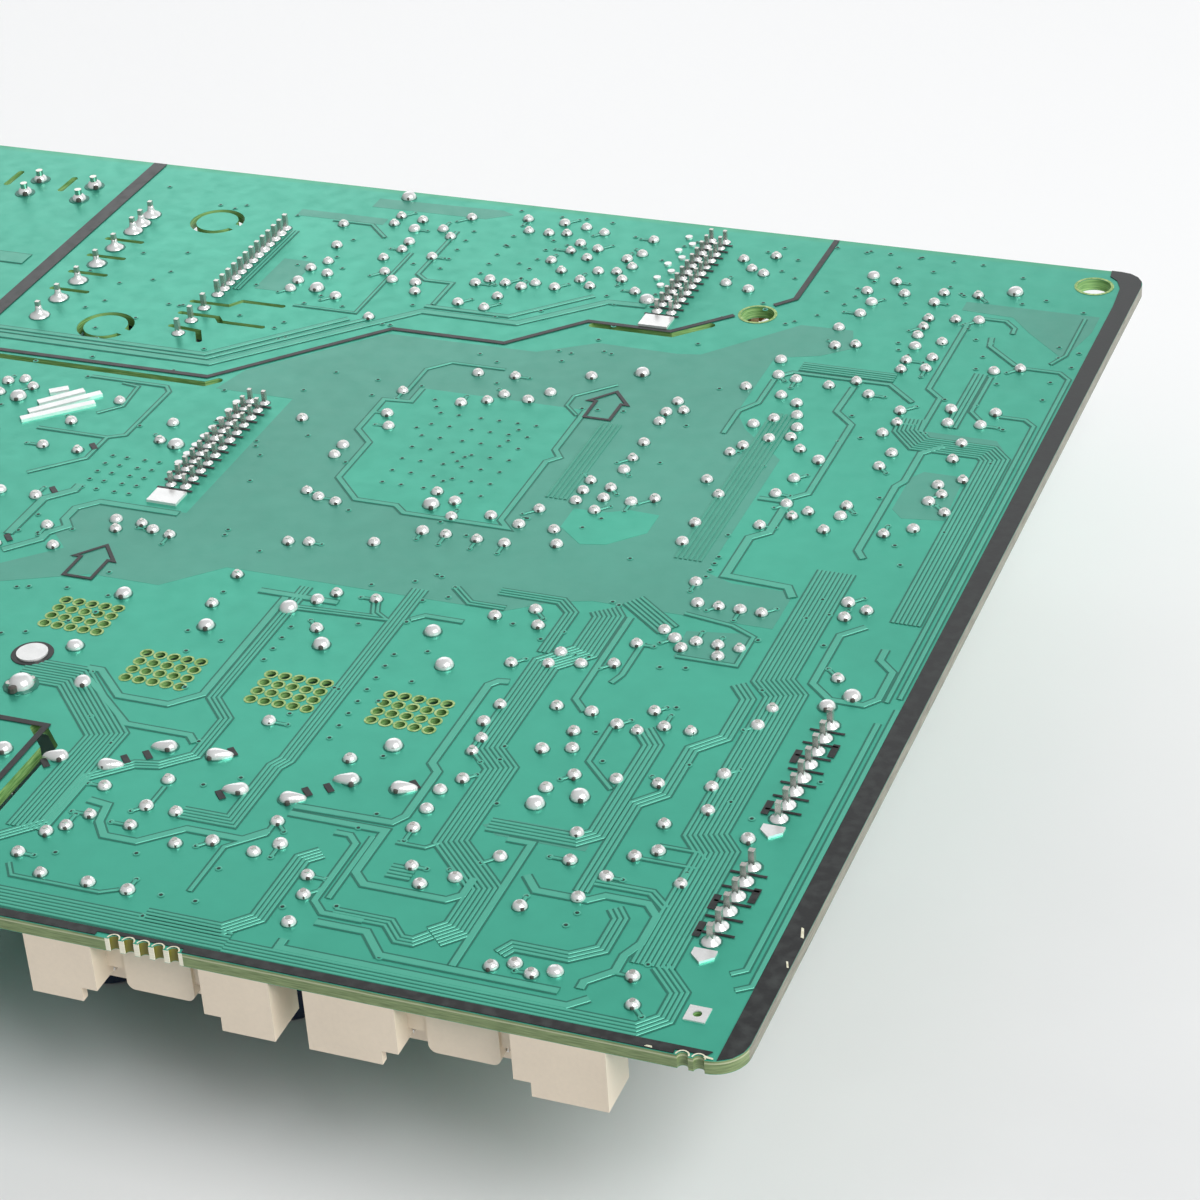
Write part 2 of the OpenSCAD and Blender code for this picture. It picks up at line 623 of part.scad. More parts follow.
// The pad between the module and the heatsink, clear of the screws.
module thermal_sheet() {
    w = module_w - 2 * module_draft;
    l = module_len - 12;
    color("lightgray") under(module_mid) translate([-w / 2, -l / 2, module_lift + module_t])
        cube([w, l, sheet_t]);
}

// The finned extrusion, whose fin tips are one of the rests.
module heatsink() {
    base = module_lift + module_t + sheet_t;
    pitch = (heatsink_w - fin_t) / (fin_count - 1);
    color("silver") under(heatsink_mid) difference() {
        translate([0, heatsink_len / 2, 0]) rotate([90, 0, 0]) linear_extrude(heatsink_len) {
            translate([-heatsink_w / 2, base]) square([heatsink_w, heatsink_base_t]);
            for (i = [0:fin_count - 1]) translate([-heatsink_w / 2 + i * pitch, base + heatsink_base_t - 0.5])
                square([fin_t, parts_h - base - heatsink_base_t + 0.5]);
        }
        for (back = module_screw_backs) translate([0, back - heatsink_mid[1], base - 1])
            cylinder(d = screw_d, h = heatsink_base_t + 2);
    }
}

// Pan-head screws that pass the module's notches into the heatsink.
module heatsink_screws() {
    color("lightgray") for (back = module_screw_backs) under([module_mid[0], back]) {
        translate([0, 0, module_lift - 2]) cylinder(d = 5.6, h = 2);
        translate([0, 0, module_lift]) cylinder(d = screw_d, h = module_t + sheet_t + heatsink_base_t);
    }
}

// ---- Chips ----

module controller_chip() {
    w = controller_w;
    c = 0.6;
    color("dimgray") under(controller_mid) translate([0, 0, 0.15]) linear_extrude(1.45)
        polygon([
            [-w / 2 + c, -w / 2], [w / 2, -w / 2], [w / 2, w / 2], [-w / 2, w / 2], [-w / 2, -w / 2 + c]
        ]);
}

// Gull-wing leads: flat foot on the board, a step up, and a flat root at the body.
module controller_leads() {
    pitch = 0.8;
    color("silver") under(controller_mid) for (side = [0:3], i = [0:controller_leads_per_side - 1])
        rotate(side * 90) translate([0, (i - (controller_leads_per_side - 1) / 2) * pitch + 0.15, 0])
            rotate([90, 0, 0]) linear_extrude(0.3) translate([controller_w / 2, 0]) polygon([
                [0, 0.7], [0.35, 0.7], [0.55, 0], [1.2, 0], [1.2, 0.15], [0.68, 0.15], [0.48, 0.87],
                [0, 0.87]
            ]);
}

module driver_chip() {
    color("dimgray") under(driver_mid) difference() {
        translate([-4.6, -3.2, 0.6]) cube([9.2, 6.4, 3.4]);
        translate([-4.6, 0, 3.6]) cylinder(r = 0.9, h = 2);
    }
}

// A lead that comes out of the side of a dual in-line body and turns down through the board.
module driver_leads() {
    color("silver") for (side = [-1, 1], i = [0:3]) {
        at = [driver_mid[0] + (1.5 - i) * dip_pitch, driver_mid[1] + side * dip_row_gap / 2];
        leg(at, 0.28, 2.3);
        under(at) translate([-0.6, side > 0 ? -0.61 : -0.12, 2.02]) cube([1.2, 0.73, 0.28]);
    }
}

// ---- Capacitors ----

// A can with its rolled groove near the bung end and a flat top.
module can(d, h) {
    r = d / 2;
    rotate_extrude() polygon([
        [0, 0.3], [r - 0.9, 0.3], [r - 0.9, 0], [r - 0.3, 0], [r, 0.4], [r, 1.6], [r - 0.5, 2.1], [r, 2.6],
        [r, h - 0.4], [r - 0.4, h], [0, h]
    ]);
}

module electrolytic_capacitors() {
    color("midnightblue") {
        for (at = converter_cans) under(at) can(converter_can_d, parts_h);
        for (at = small_cans) under(at) can(small_can_d, small_can_h);
    }
}

module electrolytic_leads() {
    color("silver") {
        for (at = converter_legs) leg(at, thick_r, 0.3);
        for (at = small_can_legs) leg(at, lead_r, 0.3);
    }
}

module bulk_capacitors() {
    color("midnightblue") for (at = bulk_cans) under(at) can(bulk_can_d, parts_h);
}

module bulk_capacitor_leads() {
    color("silver") for (at = bulk_legs) leg(at, broad_r, 0.3, broad_out);
}

// A dipped capacitor with clipped corners, standing on its two leads.
module dipped_body(p) {
    w = span(p) + 1.8;
    h = 4.2;
    c = 0.9;
    under(mid(p), turn(p)) rotate([90, 0, 0]) translate([0, 0, -0.9]) linear_extrude(1.8)
        polygon([[-w / 2, 1 + c], [-w / 2 + c, 1], [w / 2 - c, 1], [w / 2, 1 + c], [w / 2, 1 + h - c],
            [w / 2 - c, 1 + h], [-w / 2 + c, 1 + h], [-w / 2, 1 + h - c]]);
}

module ceramic_capacitors() {
    color("peru") for (p = ceramic_ends) dipped_body(p);
}

module ceramic_capacitor_leads() {
    color("silver") for (at = legs(ceramic_ends)) leg(at, lead_r, 1);
}

module film_capacitors() {
    color("khaki") for (f = film_places) under([f[0], f[1]]) translate([-f[2] / 2, -f[3] / 2, 0.5])
        cube([f[2], f[3], f[4]]);
}

module film_capacitor_leads() {
    color("silver") for (at = film_pin_places) leg(at, thick_r, 0.5);
}

// ---- Bent-lead parts ----

bend_r = 0.8;

// A quarter turn of wire from upright to level, towards the middle.
module elbow(r) {
    rotate([90, 0, 0]) rotate_extrude(angle = 90) translate([bend_r, 0]) circle(r = r, $fn = 16);
}

// Both legs of a part, each bent over at a height, with level stubs up to the body's ends.
module bent_legs(p, r, lift, body_len) {
    s = span(p);
    stub = (s - body_len) / 2 - bend_r;
    under(mid(p), turn(p)) for (side = [0, 180]) rotate(side) {
        translate([s / 2, 0, -board_t - lead_out])
            cylinder(r = r, h = lift - bend_r + board_t + lead_out, $fn = 16);
        translate([s / 2 - bend_r, 0, lift - bend_r]) elbow(r);
        translate([s / 2 - bend_r - stub, 0, lift]) rotate([0, 90, 0]) cylinder(r = r, h = stub, $fn = 16);
    }
}

module wire_links() {
    color("silver") for (p = wire_link_ends) bent_legs(p, lead_r, 1.3, 0);
}

// The turned body of an axial part, thicker at its end caps.
module axial_body(p, d, l, lift) {
    r = d / 2;
    under(mid(p), turn(p)) translate([-l / 2, 0, lift]) rotate([0, 90, 0]) rotate_extrude() polygon([
        [0, 0], [r - 0.3, 0], [r, 0.3], [r, l * 0.2], [r * 0.85, l * 0.27], [r * 0.85, l * 0.73],
        [r, l * 0.8], [r, l - 0.3], [r - 0.3, l], [0, l]
    ]);
}

resistor_d = 1.8;
resistor_l = 3.4;
power_resistor_d = 3.6;
power_resistor_l = 9;

module resistors() {
    color("tan") for (p = resistor_ends) axial_body(p, resistor_d, resistor_l, 1.7);
}

module resistor_leads() {
    color("silver") for (p = resistor_ends) bent_legs(p, lead_r, 1.7, resistor_l);
}

function power_length(p) = min(power_resistor_l, span(p) - 3);

module power_resistors() {
    color("slategray") for (p = power_resistor_ends) axial_body(p, power_resistor_d, power_length(p), 4);
}

module power_resistor_leads() {
    color("silver") for (p = power_resistor_ends) bent_legs(p, thick_r, 4, power_length(p));
}

// A small transistor over the middle of its three legs, with a flat front.
module transistor_body(legs3) {
    at = (legs3[0] + legs3[1] + legs3[2]) / 3;
    angle = atan2(legs3[2][1] - legs3[0][1], legs3[0][0] - legs3[2][0]);
    under(at, angle) translate([0, 0, 2.6]) linear_extrude(4.6) difference() {
        circle(r = 2.6);
        translate([-3, -4.4]) square([6, 3]);
    }
}

module transistors() {
    color("dimgray") for (legs3 = transistor_legs) transistor_body(legs3);
}

// One formed lead: straight through the board, then drawn in towards the body.
module formed_lead(at, middle) {
    reach = at - middle;
    inset = max(0, norm(reach) - 1.4);
    w = 0.21;
    under(at, atan2(reach[1], -reach[0])) rotate([90, 0, 0]) translate([0, 0, -w]) linear_extrude(2 * w)
        polygon([
            [-w, -board_t - lead_out], [w, -board_t - lead_out], [w, 1], [w - inset, 2.2], [w - inset, 2.6],
            [-w - inset, 2.6], [-w - inset, 2.2], [-w, 1]
        ]);
}

module transistor_leads() {
    color("silver") for (legs3 = transistor_legs, at = legs3)
        formed_lead(at, (legs3[0] + legs3[1] + legs3[2]) / 3);
}

module test_pins() {
    color("silver") for (at = test_pin_places) {
        leg(at, thick_r, 4);
        under(at) cylinder(d = 1.6, h = 0.5);
    }
}

// Quick-connect blades, each standing on two legs, with a lock hole near the tip.
module blade_terminals() {
    color("silver") for (at = blade_places) {
        under(at) difference() {
            translate([-0.4, -3.15, 0]) cube([0.8, 6.3, 9.5]);
            translate([-1, 0, 6.8]) rotate([0, 90, 0]) cylinder(d = 1.8, h = 2);
        }
        for (side = [-1, 1]) leg([at[0], at[1] + side * blade_leg_gap / 2], broad_r, 0.01, 1.6);
    }
}

// ---- Power side ----

module transformer_core() {
    w = 28;
    color("dimgray") under(transformer_mid) difference() {
        translate([-7, -w / 2, 1.5]) cube([14, w, transformer_h - 1.5]);
        for (side = [-1, 1]) translate([-8, side * 7.5 - 3.5, 6]) cube([16, 7, 11]);
    }
}

module transformer_bobbin() {
    color("dimgray") under(transformer_mid) difference() {
        translate([-15, -13.5, 0]) cube([30, 27, 1.5]);
        for (at = transformer_pin_places)
            translate([transformer_mid[0] - at[0], at[1] - transformer_mid[1], -1])
                cylinder(r = thick_r, h = 4);
    }
}

// The taped winding bulges out on both sides of the core's windows.
module transformer_winding() {
    color("gold") under(transformer_mid) difference() {
        translate([-12, -10.8, 6.2]) cube([24, 21.6, 10.6]);
        translate([-7.01, -15, 0]) cube([14.02, 11, 30]);
        translate([-7.01, 4, 0]) cube([14.02, 11, 30]);
        translate([-7.01, -4.01, 0]) cube([14.02, 8.02, 30]);
    }
}

module transformer_pins() {
    color("silver") for (at = transformer_pin_places) leg(at, thick_r, 1.5);
}

module bridge_rectifier() {
    color("dimgray") under(bridge_mid) difference() {
        translate([-11, -1.8, 2.5]) cube([22, 3.6, 18]);
        translate([0, -3, 16.5]) rotate([-90, 0, 0]) cylinder(d = 3.4, h = 6);
        translate([8.5, -3, 17.8]) rotate([0, 45, 0]) cube([5, 6, 5]);
    }
}

module bridge_leads() {
    color("silver") for (at = bridge_pin_places) leg(at, broad_r, 2.5, broad_out);
}

module fuse_tube() {
    color("lightcyan") under(fuse_mid) translate([0, 6.5, 6]) rotate([90, 0, 0]) difference() {
        cylinder(d = 4.8, h = 13);
        translate([0, 0, -1]) cylinder(d = 3.4, h = 15);
    }
}

module fuse_caps() {
    color("silver") under(fuse_mid) for (side = [0, 180]) rotate(side) translate([0, 6.5, 6])
        rotate([-90, 0, 0]) cylinder(d = 5.2, h = 4.5);
}

// Spring clips that hold a fuse cap between two leaves.
module fuse_clips() {
    color("silver") {
        under(fuse_mid) for (side = [-1, 1]) translate([0, side * 9 + 2, 0]) rotate([90, 0, 0])
            linear_extrude(4) difference() {
                polygon([[-3.2, 0], [3.2, 0], [3.2, 8.6], [-3.2, 8.6]]);
                translate([0, 6]) circle(d = 5.2);
                translate([-2, 7]) square([4, 4]);
                translate([-2.4, 0.8]) square([4.8, 3.4]);
            }
        for (at = fuse_leg_places) leg(at, broad_r, 0.01, broad_out);
    }
}

module varistor() {
    color("royalblue") under(varistor_mid) {
        translate([-2.2, 0, 9]) rotate([0, 90, 0]) cylinder(d = 14, h = 4.4);
        translate([-2.2, -4.6, varistor_lift]) cube([4.4, 9.2, 4]);
    }
}

module varistor_leads() {
    color("silver") for (at = varistor_pin_places) leg(at, thick_r, varistor_lift);
}

// A toroid standing on its rim, wound on both sides.
module choke_core() {
    color("seagreen") under(choke_mid) translate([0, 4, 10.5]) rotate([90, 0, 0]) difference() {
        cylinder(d = 19, h = 8);
        translate([0, 0, -1]) cylinder(d = 10, h = 10);
    }
}

module choke_winding() {
    turns = 9;
    wire = 0.9;
    color("chocolate") {
        under(choke_mid) translate([0, 0, 10.5]) for (side = [0, 180], i = [0:turns - 1])
            rotate([0, side + (i - (turns - 1) / 2) * 15, 0]) translate([7.25, 0, -wire / 2])
                linear_extrude(wire) difference() {
                    translate([-3.2, -4.9]) square([6.4, 9.8]);
                    translate([-2.4, -4]) square([4.8, 8]);
                }
        for (at = choke_pin_places) leg(at, thick_r, 7.5);
    }
}

module relays() {
    color("black") for (at = relay_places) under(at) difference() {
        translate([-9.5, -7.8, 0]) cube([19, 15.6, 15.5]);
        for (x = [-1, 1]) translate([x * 9.5, 0, 15.5]) rotate([0, 45, 0])
            translate([-0.6, -9, -0.6]) cube([1.2, 18, 1.2]);
        for (y = [-1, 1]) translate([0, y * 7.8, 15.5]) rotate([45, 0, 0])
            translate([-11, -0.6, -0.6]) cube([22, 1.2, 1.2]);
    }
}

module relay_pins() {
    color("silver") for (at = relay_pin_places) leg(at, thick_r, 0);
}

module mains_header() {
    l = (mains_pins - 1) * mains_pitch + 5;
    color("white") under(mains_mid) difference() {
        translate([-4.5, -l / 2, 0]) cube([9, l, 9]);
        translate([-3.4, -l / 2 + 1.1, 3]) cube([6.8, l - 2.2, 9]);
        translate([2, -l / 2 + 4, 4.5]) cube([4, l - 8, 9]);
        for (i = [0:mains_pins - 1]) translate([0, (i - (mains_pins - 1) / 2) * mains_pitch, -1])
            cylinder(r = broad_r, h = 6);
    }
}

module mains_header_pins() {
    color("silver") for (at = mains_pin_places) leg(at, broad_r, 8, broad_out);
}

module crystal() {
    color("silver") under(crystal_mid) linear_extrude(3.5) {
        translate([-3.3, -2.2]) square([6.6, 4.4]);
        for (side = [-1, 1]) translate([side * 3.3, 0]) circle(d = 4.4);
    }
}

// Small chip parts in ranks round the controller.
module chip_components() {
    places = [for (x = [-1.5:1.5], y = [-1, 1]) [70.5 + x * 4, 101 + y * 12.5]];
    color("black") for (at = places) under(at) translate([-1, -0.6, 0]) cube([2, 1.2, 0.6]);
}

circuit_board();
solder_joints();
large_solder_joints();
pin_solder();
tinned_pads();
front_wafer_left();
front_wafer_right();
front_wafer_pins();
side_wafer_back();
side_wafer_front();
service_wafer();
wafer_pins();
header_back();
header_left();
header_pins();
power_module();
power_module_pins();
thermal_sheet();
heatsink();
heatsink_screws();
controller_chip();
controller_leads();
driver_chip();
driver_leads();
electrolytic_capacitors();
electrolytic_leads();
bulk_capacitors();
bulk_capacitor_leads();
ceramic_capacitors();
ceramic_capacitor_leads();
wire_links();
resistors();
resistor_leads();
power_resistors();
power_resistor_leads();
transistors();
transistor_leads();
test_pins();
blade_terminals();
transformer_core();
transformer_bobbin();
transformer_winding();
transformer_pins();
bridge_rectifier();
bridge_leads();
fuse_tube();
fuse_caps();
fuse_clips();
varistor();
varistor_leads();
film_capacitors();
film_capacitor_leads();
choke_core();
choke_winding();
relays();
relay_pins();
mains_header();
mains_header_pins();
crystal();
chip_components();
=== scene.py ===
"""Looks of the inverter control board: solder mask, copper, silk, solder and plastics on the CAD frame.

Places on the board are (left, back) in millimetres: left of the right edge, and back from the front edge.
"""

import json
import logging
import math
from dataclasses import dataclass, field
from enum import Enum
from typing import Sequence

import bpy
import numpy as np
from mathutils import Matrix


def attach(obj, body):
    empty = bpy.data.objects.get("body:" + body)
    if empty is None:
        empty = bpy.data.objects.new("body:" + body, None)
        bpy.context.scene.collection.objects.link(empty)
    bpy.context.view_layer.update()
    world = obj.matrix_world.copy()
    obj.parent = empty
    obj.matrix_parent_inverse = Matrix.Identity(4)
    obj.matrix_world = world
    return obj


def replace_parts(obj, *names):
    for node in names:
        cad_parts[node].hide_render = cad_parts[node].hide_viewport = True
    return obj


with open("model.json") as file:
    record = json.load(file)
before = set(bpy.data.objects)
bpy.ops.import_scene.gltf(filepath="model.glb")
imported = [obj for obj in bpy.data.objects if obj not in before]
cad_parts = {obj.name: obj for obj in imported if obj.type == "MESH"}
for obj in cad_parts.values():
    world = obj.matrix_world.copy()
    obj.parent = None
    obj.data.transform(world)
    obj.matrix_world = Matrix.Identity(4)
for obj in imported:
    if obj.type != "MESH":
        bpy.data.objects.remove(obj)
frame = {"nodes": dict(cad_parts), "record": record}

logging.basicConfig(level=logging.INFO, format="%(levelname)s %(message)s")
log = logging.getLogger("board")

MM = 0.001
BOARD_W = 250.0
BOARD_D = 168.0
DECK = 26.6
UNDERSIDE = 25.0
Place = tuple[float, float]
Places = tuple[Place, ...]
Color = tuple[float, float, float]
Material = bpy.types.Material


class Finish(Enum):
    """How a surface answers light."""

    MATTE = 0.62
    SATIN = 0.42
    GLOSS = 0.22
    BRIGHT = 0.14


class Grain(Enum):
    """What kind of fine relief and colour drift a surface has."""

    MOULDED = "moulded"
    BRUSHED = "brushed"
    SPECKLED = "speckled"
    WRAPPED = "wrapped"


@dataclass(frozen=True)
class Paint:
    """A material's recipe.

    Args:
        color: Linear base colour.
        finish: Roughness family.
        grain: Kind of relief.
        metallic: 1 for bare metal.
        drift: How far the colour wanders.
        scale: Grain size in millimetres.
        depth: Bump height in millimetres.
        coat: Clear coat weight.
        glass: Transmission weight.
    """

    color: Color
    finish: Finish = Finish.SATIN
    grain: Grain = Grain.MOULDED
    metallic: float = 0.0
    drift: float = 0.12
    scale: float = 1.0
    depth: float = 0.02
    coat: float = 0.0
    glass: float = 0.0


PAINTS: dict[str, Paint] = {
    "solder_tin": Paint((0.87, 0.87, 0.86), Finish.GLOSS, Grain.SPECKLED, 0.45, 0.10, 0.5, 0.02),
    "tinned_lead": Paint((0.66, 0.64, 0.60), Finish.GLOSS, Grain.BRUSHED, 0.8, 0.10, 0.4, 0.01),
    # Dark brown-grey for the pucks of painted shade at the front foot of the lead joints.
    "notch_shade_paint": Paint((0.09, 0.08, 0.07), Finish.SATIN, Grain.SPECKLED, 0.2, 0.2, 0.3, 0.01),
    "ivory_nylon": Paint((0.80, 0.69, 0.55), Finish.SATIN, Grain.MOULDED, 0.0, 0.06, 1.5, 0.02),
    "white_nylon": Paint((0.80, 0.80, 0.76), Finish.SATIN, Grain.MOULDED, 0.0, 0.05, 1.5, 0.02),
    "black_plastic": Paint((0.02, 0.02, 0.022), Finish.SATIN, Grain.MOULDED, 0.0, 0.2, 0.8, 0.02),
    "chip_epoxy": Paint((0.018, 0.018, 0.02), Finish.MATTE, Grain.SPECKLED, 0.0, 0.3, 0.3, 0.02),
    "cast_heatsink": Paint((0.62, 0.63, 0.64), Finish.SATIN, Grain.BRUSHED, 1.0, 0.1, 0.6, 0.015),
    "screw_steel": Paint((0.55, 0.55, 0.53), Finish.GLOSS, Grain.BRUSHED, 1.0, 0.12, 0.4, 0.01),
    "silicone_pad": Paint((0.42, 0.44, 0.46), Finish.MATTE, Grain.SPECKLED, 0.0, 0.1, 0.6, 0.03),
    "can_sleeve": Paint((0.012, 0.02, 0.05), Finish.GLOSS, Grain.WRAPPED, 0.0, 0.2, 6.0, 0.03, coat=0.3),
    "dipped_tan": Paint((0.55, 0.27, 0.07), Finish.SATIN, Grain.SPECKLED, 0.0, 0.15, 0.8, 0.04),
    "resistor_coat": Paint((0.55, 0.42, 0.24), Finish.SATIN, Grain.SPECKLED, 0.0, 0.12, 0.6, 0.03),
    "flameproof_coat": Paint((0.18, 0.22, 0.26), Finish.MATTE, Grain.SPECKLED, 0.0, 0.15, 0.7, 0.05),
    "ferrite": Paint((0.03, 0.03, 0.032), Finish.MATTE, Grain.SPECKLED, 0.0, 0.25, 0.4, 0.03),
    "yellow_tape": Paint((0.75, 0.50, 0.03), Finish.GLOSS, Grain.WRAPPED, 0.0, 0.08, 3.0, 0.04),
    "enamelled_copper": Paint(
        (0.62, 0.20, 0.06), Finish.GLOSS, Grain.BRUSHED, 1.0, 0.12, 0.6, 0.01, coat=0.4,
    ),
    "fuse_glass": Paint((0.92, 0.96, 0.95), Finish.BRIGHT, Grain.MOULDED, 0.0, 0.02, 4.0, 0.005, glass=1.0),
    "nickel_plate": Paint((0.72, 0.70, 0.64), Finish.GLOSS, Grain.BRUSHED, 1.0, 0.12, 0.8, 0.01),
    "varistor_blue": Paint((0.02, 0.07, 0.33), Finish.SATIN, Grain.SPECKLED, 0.0, 0.12, 0.9, 0.05),
    "film_box": Paint((0.70, 0.50, 0.05), Finish.SATIN, Grain.MOULDED, 0.0, 0.06, 2.0, 0.02),
    "core_paint": Paint((0.03, 0.22, 0.10), Finish.SATIN, Grain.SPECKLED, 0.0, 0.1, 0.8, 0.03),
    "relay_case": Paint((0.02, 0.02, 0.02), Finish.GLOSS, Grain.MOULDED, 0.0, 0.15, 2.0, 0.02),
}


@dataclass(frozen=True)
class Mask:
    """Solder mask over one kind of ground.

    Args:
        color: Linear base colour.
        metal: How much of the bright ground under it shows.
    """

    color: Color
    metal: float = 0.6


MASKS: dict[str, Mask] = {
    "copper_mask": Mask((0.070, 0.47, 0.33)),
    "bare_mask": Mask((0.080, 0.35, 0.26), 0.3),
    "trace_mask": Mask((0.080, 0.42, 0.30), 0.2),
    "faint_mask": Mask((0.065, 0.34, 0.24), 0.3),
    # The dark green of the grooves beside traces, also used for the bands of painted shadow round the joints.
    "groove_and_shadow_mask": Mask((0.020, 0.17, 0.12), 0.2),
}
MASK_DRIFT = 0.1
STRETCHES = {Grain.BRUSHED: (0.25, 1.0, 1.0), Grain.WRAPPED: (0.3, 0.3, 1.6)}

# The darkest and lightest tone of each cut or worn ground.
LAMINATE = ((0.13, 0.19, 0.075), (0.25, 0.33, 0.15))
SLOT_WALL = ((0.11, 0.27, 0.07), (0.32, 0.55, 0.20))
RIGHT_SIDE = ((0.15, 0.145, 0.11), (0.30, 0.29, 0.22))
SNAPPED_GLASS = ((0.80, 0.77, 0.60), (0.90, 0.88, 0.74))
SILK_INK = ((0.013, 0.014, 0.014), (0.035, 0.04, 0.038))
FRAYED_FIBRE = ((0.62, 0.60, 0.42), (0.85, 0.83, 0.66))
DRILLED_RIM = ((0.20, 0.38, 0.09), (0.46, 0.60, 0.26))
HOLE_SHADE = ((0.002, 0.02, 0.012), (0.004, 0.04, 0.024))
# Floor tones: near the front with random blotches, and at the back; the floor drawn lighter towards the back
# is painted light.
FLOOR_NEAR = ((0.745, 0.75, 0.75), (0.785, 0.79, 0.79))
FLOOR_BACK_PAINTED_LIGHT = (0.94, 0.94, 0.94)
INNER_LAYER = (0.42, 0.46, 0.28)
BITE_SHADE = (0.16, 0.15, 0.02)
BACK_BORDER = (0.10, 0.44, 0.24)

# Where the cut sides change their tone, in millimetres.
INNER_LAYER_DOWN = 0.34
INNER_LAYER_HALF = 0.09
SIDE_REACH_X = 2.7
SIDE_REACH_Y = 0.6
BITES_MID = 61.8
BITES_HALF = 4.3
BITE_DEPTH = 0.55
BITE_LIP = 0.12


# ---- shader graph


class Sock:
    """An output socket that takes part in arithmetic."""

    def __init__(self, graph: "Graph", out: bpy.types.NodeSocket) -> None:
        self.graph = graph
        self.out = out

    def math(self, operation: str, *others: "Sock | float") -> "Sock":
        """Applies a maths node to this value and others, and returns its result."""
        return self.graph.node("ShaderNodeMath", {0: self, **dict(enumerate(others, 1))}, operation=operation)

    def __add__(self, other: "Sock | float") -> "Sock":
        return self.math("ADD", other)

    def __sub__(self, other: "Sock | float") -> "Sock":
        return self.math("SUBTRACT", other)

    def __rsub__(self, other: float) -> "Sock":
        return self.graph.value(other).math("SUBTRACT", self)

    def __mul__(self, other: "Sock | float") -> "Sock":
        return self.math("MULTIPLY", other)

    def __abs__(self) -> "Sock":
        return self.math("ABSOLUTE")

    def above(self, limit: float) -> "Sock":
        """1 where this value passes the limit."""
        return self.math("GREATER_THAN", limit)

    def below(self, limit: float) -> "Sock":
        """1 where this value stays under the limit."""
        return self.math("LESS_THAN", limit)

    def ramp(self, low: float, high: float, to_low: float = 0.0, to_high: float = 1.0) -> "Sock":
        """Maps a range of this value onto another with clamped ends."""
        return self.graph.node(
            "ShaderNodeMapRange",
            {"Value": self, "From Min": low, "From Max": high, "To Min": to_low, "To Max": to_high},
        )


class Graph:
    """A node tree that is written as arithmetic."""

    def __init__(self, tree: bpy.types.NodeTree) -> None:
        self.tree = tree

    def node(self, kind: str, inputs: dict, output: str | int = 0, **properties: object) -> Sock:
        """Adds a node.

        Args:
            kind: The node's type name.
            inputs: Socket name or number, to a value or a Sock.
            output: The output wanted.
            **properties: The node's own settings.

        Returns:
            The wanted output.
        """
        made = self.tree.nodes.new(kind)
        for key, setting in properties.items():
            setattr(made, key, setting)
        for key, given in inputs.items():
            if isinstance(given, Sock):
                self.tree.links.new(given.out, made.inputs[key])
            else:
                made.inputs[key].default_value = given
        return Sock(self, made.outputs[output])

    def value(self, number: float) -> Sock:
        """A constant as a Sock."""
        return self.node("ShaderNodeMath", {0: number, 1: 0.0}, operation="ADD")

    def vector(self, operation: str, first: Sock, **inputs: object) -> Sock:
        """Applies a vector maths node, with its second vector or its scale by name."""
        given = {{"second": 1, "scale": "Scale"}[key]: each for key, each in inputs.items()}
        return self.node("ShaderNodeVectorMath", {0: first, **given}, operation=operation)

    def axes(self, point: Sock) -> tuple[Sock, Sock, Sock]:
        """A vector's x, y and z."""
        split = self.node("ShaderNodeSeparateXYZ", {0: point}, "X")
        outputs = split.out.node.outputs
        return split, Sock(self, outputs["Y"]), Sock(self, outputs["Z"])


class Shader(Graph):
    """A material's node tree, built around one Principled shader, with places in millimetres."""

    def __init__(self, name: str) -> None:
        self.material = bpy.data.materials.new(name)
        self.material.use_nodes = True
        super().__init__(self.material.node_tree)
        self.bsdf = self.tree.nodes["Principled BSDF"]
        self.mm = self.vector("SCALE", self.node("ShaderNodeTexCoord", {}, "Object"), scale=1 / MM)

    def noise(
        self, scale: float, detail: float = 2.0, stretch: tuple[float, float, float] = (1.0, 1.0, 1.0),
    ) -> Sock:
        """Fractal noise with a feature size of about scale millimetres, 0 to 1."""
        point = self.vector("MULTIPLY", self.mm, second=stretch)
        inputs = {"Vector": point, "Scale": 1.0 / scale, "Detail": detail}
        return self.node("ShaderNodeTexNoise", inputs, "Fac")

    def blend(self, first: object, second: object, factor: Sock | float) -> Sock:
        """Mixes two colours."""
        paint = {6: self._rgba(first), 7: self._rgba(second), 0: factor}
        return self.node("ShaderNodeMix", paint, 2, data_type="RGBA")

    @staticmethod
    def _rgba(color: object) -> object:
        return color if isinstance(color, Sock) else (*color, 1.0)

    def bump(self, height: Sock, distance_mm: float) -> None:
        """Drives the surface normal from a height."""
        inputs = {"Height": height, "Distance": distance_mm * MM, "Strength": 0.6}
        self.link("Normal", self.node("ShaderNodeBump", inputs))

    def link(self, socket: str, given: Sock) -> None:
        """Feeds a Principled socket."""
        self.tree.links.new(given.out, self.bsdf.inputs[socket])

    def surface(self, color: Sock, rough: Sock) -> None:
        """Feeds the colour and the roughness."""
        self.link("Base Color", color)
        self.link("Roughness", rough)

    def fix(self, **sockets: float) -> None:
        """Sets uniform numbers on the Principled shader, with underscores for spaces."""
        for key, number in sockets.items():
            self.bsdf.inputs[key.replace("_", " ")].default_value = number


